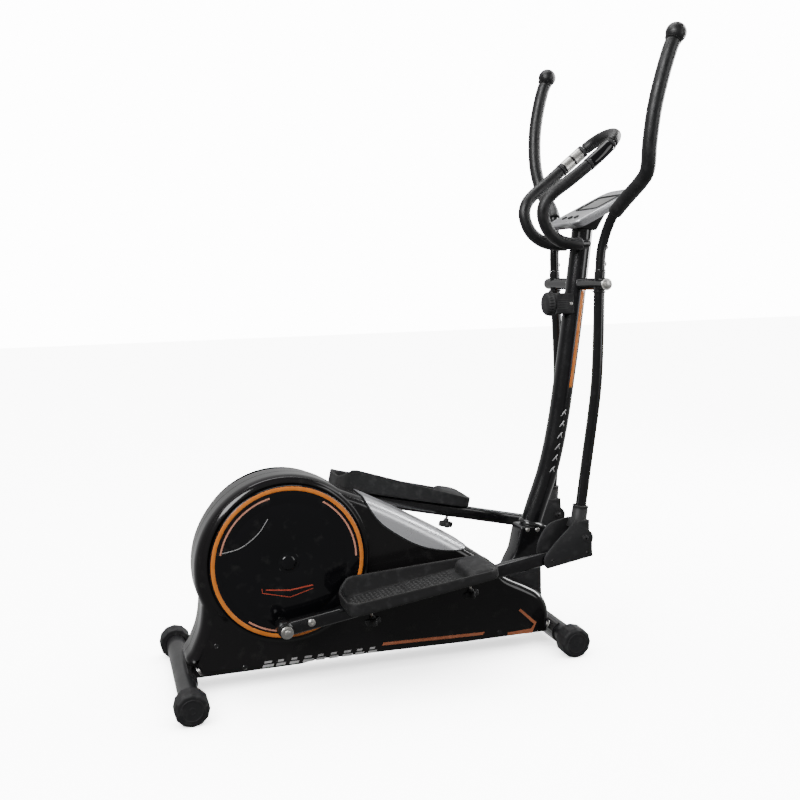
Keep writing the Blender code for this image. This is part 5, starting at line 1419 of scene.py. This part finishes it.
def console():
    """The console's body, screen, buttons and printed marks."""
    here = console_frame()
    levels = [(0.085, 0.070, 0.025, -CONSOLE_T), (0.090, 0.075, 0.028, -CONSOLE_T + 0.0008),
              (0.096, 0.081, 0.030, -0.019), (0.102, 0.0865, 0.032, -0.0105),
              (0.1050, 0.0885, 0.033, -0.0088),
              (0.1050, 0.0885, 0.033, -0.0080), (0.1068, 0.0893, 0.034, -0.0076),
              (0.1078, 0.0898, 0.034, -0.0060),
              (0.1080, 0.0900, 0.034, -0.0040), (0.1072, 0.0892, 0.0335, -0.0018),
              (0.1055, 0.0875, 0.033, -0.0006),
              (0.1030, 0.0850, 0.032, 0.0)]
    rings = [[(x, y, w) for x, y in rounded_ring(hx, hy, r, 8)] for hx, hy, r, w in levels]
    rings += [[(x, y, -0.0002) for x, y in rounded_ring(0.0960, 0.0790, 0.027, 8)],
              [(x, y, -0.0010) for x, y in rounded_ring(0.0945, 0.0775, 0.026, 8)],
              [(x, y, -0.0010) for x, y in rounded_ring(0.0900, 0.0730, 0.023, 8)]]
    body = skin("console_body", rings)
    pocket = block("pocket_tool", (0.076, 0.116, 0.020), 0, Matrix.Translation((0.022, 0, 0.0055)))
    pocket.modifiers.clear()
    tools = [pocket]
    for v in (-0.035, 0.0, 0.035):
        tools.append(lathe("well_tool", [(0, 0.01), (0.0078, 0.01), (0.0078, -0.009), (0, -0.009)], 40,
                           Matrix.Translation((-0.070, v, 0))))
    carve(body, *tools)
    piece(moved(smooth(body, 30), here), SILVER, "frame", ["console_shell"])
    frame_line = []
    for grow, level in ((0.0, -0.0012), (0.0, 0.0006), (0.0012, 0.0012), (0.0052, 0.0012), (0.0064, 0.0004),
                        (0.0064, -0.0012)):
        frame_line.append([(x + 0.022, y, level) for x,
                           y in rounded_ring(0.0375 + grow, 0.0575 + grow, 0.006 + grow, 6)])
    bezel = skin("console_bezel", frame_line + [frame_line[0]], caps=False)
    piece(moved(smooth(bezel, 35), here), COVER, "frame")
    glass = []
    for shrink, level in ((0.0, -0.0040), (0.0, -0.0012), (0.0006, -0.0006), (0.0020, -0.0005)):
        glass.append([(x + 0.022, y, level) for x,
                      y in rounded_ring(0.0374 - shrink, 0.0574 - shrink, 0.0055, 6)])
    screen = skin("console_window", glass)
    piece(moved(smooth(screen, 35), here), SCREEN, "frame", ["console_screen"])
    low, high = -0.0004, -0.0001
    segments = []
    for column in range(4):
        y = -0.0435 + 0.029 * column
        segments.append(slab("cell", [(0.003, y), (0.0042, y), (0.0042, y + 0.022), (0.003, y + 0.022)], low,
                             high, 0.0,
                             Matrix.Rotation(-math.pi / 2, 4, "X") @ Matrix.Scale(-1, 4, (0, 1, 0))))
        segments.append(slab("cell", [(0.040, y), (0.0412, y), (0.0412, y + 0.022), (0.040, y + 0.022)], low,
                             high, 0.0,
                             Matrix.Rotation(-math.pi / 2, 4, "X") @ Matrix.Scale(-1, 4, (0, 1, 0))))
    marks = together("console_cells", segments)
    piece(moved(marks, here), PALE, "frame")
    for name, v in (("right", -0.035), ("middle", 0.0), ("left", 0.035)):
        cap = lathe("console_button_%s_cap" % name,
                    [(0, 0.0015), (0.0030, 0.0014), (0.0055, 0.0016), (0.0068, 0.0019), (0.0073, 0.0017),
                     (0.0075, 0.0010), (0.0075, -0.0060), (0, -0.0060)], 40,
                    here @ Matrix.Translation((-0.070, v, 0)))
        piece(cap, COVER, "button_" + name, ["console_button_" + name])


def console_bracket():
    """A tapered neck under the console, softened at its corners."""
    top = Vector(mast_path()[-1])
    here = console_frame()
    to_fit = TO_WORLD.inverted() @ here
    rings = []
    for k in range(9):
        share = k / 8
        ease = share ** 1.6
        low = [Vector((top.x + x, y, top.z + 0.0006 - 0.118 * x)) for x,
               y in rounded_ring(0.030, 0.034, 0.012, 6)]
        high = [to_fit @ Vector((u - 0.022, v, -CONSOLE_T - 0.0004)) for u,
                v in rounded_ring(0.040, 0.045, 0.012, 6)]
        rings.append([a + (b - a) * (0.55 * share + 0.45 * ease) for a, b in zip(low, high)])
    made = skin("console_neck", rings)
    soften(moved(smooth(made, 40), TO_WORLD), 0.0012, 2, 50)
    piece(made, COVER, "frame", ["console_bracket"])


# ---------------------------------------------------------------- arm axle and resistance control

def pivot():
    """The arms' axle, its hub on the mast, and a washer and a bolt at each end."""
    low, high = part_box("pivot_axle")
    place = Matrix.Translation((DATUM_X + AXLE.x, 0, AXLE.z)) @ QUARTER_X
    reach = (high.y - low.y) / 2
    profile = [(0, reach), (0.0095, reach), (0.010, reach - 0.0005)]
    profile += [(0.010, reach - 0.02 * k) for k in range(1, 17)] + [(0.010, -reach + 0.0005),
                                                                    (0.0095, -reach), (0, -reach)]
    piece(lathe("pivot_rod", profile, 40, place), TURNED, "frame", ["pivot_axle"])
    hub = lathe("pivot_hub", [(0.0104, 0.0322), (0.0145, 0.0322), (0.0155, 0.0312), (0.0155, 0.02),
                              (0.0155, -0.02),
                              (0.0155, -0.0312), (0.0145, -0.0322), (0.0104, -0.0322)], 48, place)
    piece(hub, BLACK_PAINT, "frame")
    for label, side in SIDES.items():
        outer = Matrix.Translation((DATUM_X + AXLE.x, side * (reach + 0.0006), AXLE.z)) @ Matrix.Rotation(
            -side * math.pi / 2, 4, "X")
        washer = lathe("pivot_washer_" + label,
                       [(0, 0.0020), (0.0146, 0.0020), (0.0155, 0.0012), (0.0155, 0.0), (0, 0.0)],
                       48, outer)
        piece(washer, STEEL, "frame", ["axle_bolt_" + label])
        bolt = hex_bolt("pivot_bolt_" + label, outer @ Matrix.Translation((0, 0, 0.0021)), 0.0092, 0.0048,
                        0.0122)
        piece(bolt, STEEL, "frame")


def tension_box():
    """The ribbed box on the mast's rear side."""
    low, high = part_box("tension_housing")
    size, middle = high - low, (low + high) / 2
    made = block("tension_box_shell", size, 0.005, Matrix.Translation(middle))
    made.modifiers["soften"].segments = 5
    settle(made)
    run = catmull(mast_path(), 12)
    tool = moved(tube("grip_tool", run, MAST_R + 0.0004, run_length(catmull(mast_path()[:5], 12)), None, 40),
                 TO_WORLD)
    carve(made, tool)
    piece(smooth(made, 30), COVER, "frame", ["tension_housing"])
    for label, side in SIDES.items():
        ribs = [block("rib", (0.030, 0.0008, 0.0024), 0.0004,
                      Matrix.Translation((middle.x - 0.006, side * (size.y / 2 + 0.0001), middle.z + dz)))
                for dz in (-0.012, -0.006, 0.0, 0.006, 0.012)]
        piece(together("tension_ribs_" + label, ribs), COVER, "frame")
        place = Matrix.Translation((middle.x + 0.017, side * (size.y / 2 - 0.0004),
                                    middle.z)) @ Matrix.Rotation(
            -side * math.pi / 2, 4, "X")
        piece(dome_bolt("tension_screw_" + label, place, 0.0038, 0.0022, 0.0044), STEEL, "frame")


def tension_knob():
    """A fluted knob with a raised pointer on its face."""
    at = joint_at("resistance_knob_turn")
    here = Matrix.Translation(at) @ Matrix.Rotation(-math.pi / 2, 4, "Y")
    rings = []
    for level, radius, flute in ((0.0, 0.0325, 0.0), (0.0012, 0.0340, 0.0), (0.0040, 0.0340, 0.0),
                                 (0.0050, 0.0330, 0.0003),
                                 (0.0065, 0.0326, 0.0010), (0.0130, 0.0318, 0.0012), (0.0152, 0.0306, 0.0009),
                                 (0.0172, 0.0285, 0.0002), (0.0188, 0.0250, 0.0), (0.0197, 0.0200, 0.0),
                                 (0.0200, 0.0120, 0.0)):
        rings.append([((radius - flute * (1 + math.cos(24 * k * math.tau / 144)))
                       * math.cos(k * math.tau / 144),
                       (radius - flute * (1 + math.cos(24 * k * math.tau / 144)))
                       * math.sin(k * math.tau / 144), level)
                      for k in range(144)])
    body = skin("knob_body", rings)
    pointer = block("knob_pointer", (0.0030, 0.016, 0.0016), 0.0006, Matrix.Translation((0, 0.014, 0.0200)))
    stem = lathe("knob_stem", [(0, 0.001), (0.006, 0.001), (0.006, -0.0138), (0, -0.0138)], 28)
    made = moved(smooth(together("tension_knob_cap", [body, pointer, stem]), 30), here)
    piece(made, COVER, "tension", ["tension_knob"])


# ---------------------------------------------------------------- pieces kept from the CAD

def kept_nodes():
    """Drive pieces inside the housing keep their CAD shape, with finished materials."""
    for node, paint in (("drive_pulley", COVER), ("flywheel", IRON), ("magnet_bracket", IRON),
                        ("flywheel_axle", TURNED),
                        ("crank_axle", TURNED), ("crank_arm_left", STEEL), ("crank_arm_right", STEEL),
                        ("drive_belt", BELT), ("tension_cable", BELT)):
        NODES[node].data.materials.clear()
        NODES[node].data.materials.append(paint)


# ---------------------------------------------------------------- the part

stabiliser("rear_stabiliser", 0)
stabiliser("front_stabiliser", FRONT_X)
base_rails()
base_bolts()
top_trim()
mast()
mast_print()
mast_socket()
neck_cover()
handlebar()
console()
console_bracket()
pivot()
tension_box()
tension_knob()
kept_nodes()
for side_name, side_sign in SIDES.items():
    end_cap("rear_cap_" + side_name, 0, side_sign)
    end_cap("front_cap_" + side_name, FRONT_X, side_sign)
    housing(side_name, side_sign)
    housing_screws(side_name, side_sign)
    housing_print(side_name, side_sign)
    crank_disc(side_name, side_sign)
    disc_print(side_name, side_sign)
    crank_pin(side_name, side_sign)
    rail(side_name, side_sign)
    pedal(side_name, side_sign)
    pedal_knob(side_name, "rear")
    pedal_knob(side_name, "front")
    swing_arm(side_name, side_sign)
    handle(side_name, side_sign)
    joint_cover(side_name, side_sign)


# ---------------------------------------------------------------- studio

FLOOR_GLOW = 1.5
FLOOR_SUN = 30.0
BACKDROP_GLOW = 14.0
ROOM_FRONT, ROOM_BACK = 0.17, 0.60     # the room's glow on the viewer's side and behind the machine
AHEAD = (0.29, 0.957, 0.10)            # from the viewer towards the machine


ROOM_FROM, ROOM_TO = -0.15, 0.80         # where the room's glow starts and stops growing
FLOOR_HALF = 14.0
SUN_SPREAD_DEG = 110
LIGHT_AIM = (0, 0, 0.7)
STUDIO_LIGHTS = [                        # name, place, size, watts
    ("key", (-3.2, -2.4, 3.4), (2.4, 2.4), 260),
    ("rim", (3.2, 0.6, 2.0), (0.9, 2.8), 150),
    ("top", (-0.1, 0.7, 4.0), (3.0, 1.6), 70),
    ("fill", (2.9, -2.9, 1.8), (1.5, 3.0), 45),
]
CAMERA_YAW, CAMERA_PITCH, CAMERA_ROLL = 0.2979, -0.1273, -0.0223
CAMERA_FROM_DATUM = (-0.1758, -2.5077, 1.0378)
SENSOR_MM, LENS_MM = 36.0, 45.2


def studio():
    """A pale floor, a pale surround and large soft lights."""
    floor = new_mesh("studio_floor", lambda bm: bmesh.ops.create_grid(bm, x_segments=2, y_segments=2,
                                                                      size=FLOOR_HALF))
    paint = Shader("studio_floor_paint", (0.90, 0.90, 0.90), 0.85, Specular_IOR_Level=0.10,
                   Emission_Color=(1.0, 1.0, 1.0, 1.0), Emission_Strength=FLOOR_GLOW)
    paint.roughen(paint.noise(3.0, 3.0), 0.3, 0.7, 0.82, 0.90)
    floor.data.materials.append(paint.material)
    floor.visible_glossy = False
    floor.visible_diffuse = False
    world = bpy.data.worlds.new("studio_world")
    world.use_nodes = True
    tree = world.node_tree
    seen = tree.nodes["Background"]
    seen.inputs["Color"].default_value = (1.0, 1.0, 1.0, 1.0)
    seen.inputs["Strength"].default_value = BACKDROP_GLOW
    lit = tree.nodes.new("ShaderNodeBackground")
    lit.inputs["Color"].default_value = (1.0, 1.0, 1.0, 1.0)
    facing_back = tree.nodes.new("ShaderNodeVectorMath")
    facing_back.operation = "DOT_PRODUCT"
    facing_back.inputs[1].default_value = AHEAD
    rise = tree.nodes.new("ShaderNodeMapRange")
    rise.interpolation_type = "SMOOTHSTEP"
    for socket, value in (("From Min", ROOM_FROM), ("From Max", ROOM_TO), ("To Min", ROOM_FRONT),
                          ("To Max", ROOM_BACK)):
        rise.inputs[socket].default_value = value
    tree.links.new(tree.nodes.new("ShaderNodeTexCoord").outputs["Generated"], facing_back.inputs[0])
    tree.links.new(facing_back.outputs["Value"], rise.inputs["Value"])
    tree.links.new(rise.outputs["Result"], lit.inputs["Strength"])
    path = tree.nodes.new("ShaderNodeLightPath")
    blend = tree.nodes.new("ShaderNodeMixShader")
    tree.links.new(path.outputs["Is Camera Ray"], blend.inputs["Fac"])
    tree.links.new(lit.outputs["Background"], blend.inputs[1])
    tree.links.new(seen.outputs["Background"], blend.inputs[2])
    tree.links.new(blend.outputs["Shader"], tree.nodes["World Output"].inputs["Surface"])
    bpy.context.scene.world = world
    for name, place, size, power in STUDIO_LIGHTS:
        light = bpy.data.lights.new("studio_" + name, "AREA")
        light.shape = "RECTANGLE"
        light.size, light.size_y = size
        light.energy = power
        made = bpy.data.objects.new("studio_" + name, light)
        made.location = place
        made.rotation_euler = (Vector(LIGHT_AIM) - Vector(place)).to_track_quat("-Z", "Y").to_euler()
        bpy.context.scene.collection.objects.link(made)
    only_floor = bpy.data.collections.new("studio_floor_light")
    only_floor.objects.link(floor)
    sun = bpy.data.lights.new("studio_shade", "SUN")
    sun.energy = FLOOR_SUN
    sun.angle = math.radians(SUN_SPREAD_DEG)
    made = bpy.data.objects.new("studio_shade", sun)
    made.light_linking.receiver_collection = only_floor
    bpy.context.scene.collection.objects.link(made)


def camera():
    """The viewing angle, from the rear right at chest height."""
    yaw, pitch, roll = CAMERA_YAW, CAMERA_PITCH, CAMERA_ROLL
    eye = Vector((DATUM_X, 0, 0)) + Vector(CAMERA_FROM_DATUM)
    ahead = Vector((math.sin(yaw) * math.cos(pitch), math.cos(yaw) * math.cos(pitch), math.sin(pitch)))
    level = Vector((math.cos(yaw), -math.sin(yaw), 0))
    above = level.cross(ahead)
    right = level * math.cos(roll) + above * math.sin(roll)
    up = above * math.cos(roll) - level * math.sin(roll)
    lens = bpy.data.cameras.new("studio_camera")
    lens.sensor_width = SENSOR_MM
    lens.lens = LENS_MM
    made = bpy.data.objects.new("studio_camera", lens)
    made.matrix_world = Matrix((right, up, -ahead)).transposed().to_4x4()
    made.location = eye
    bpy.context.scene.collection.objects.link(made)
    bpy.context.scene.camera = made


studio()
camera()
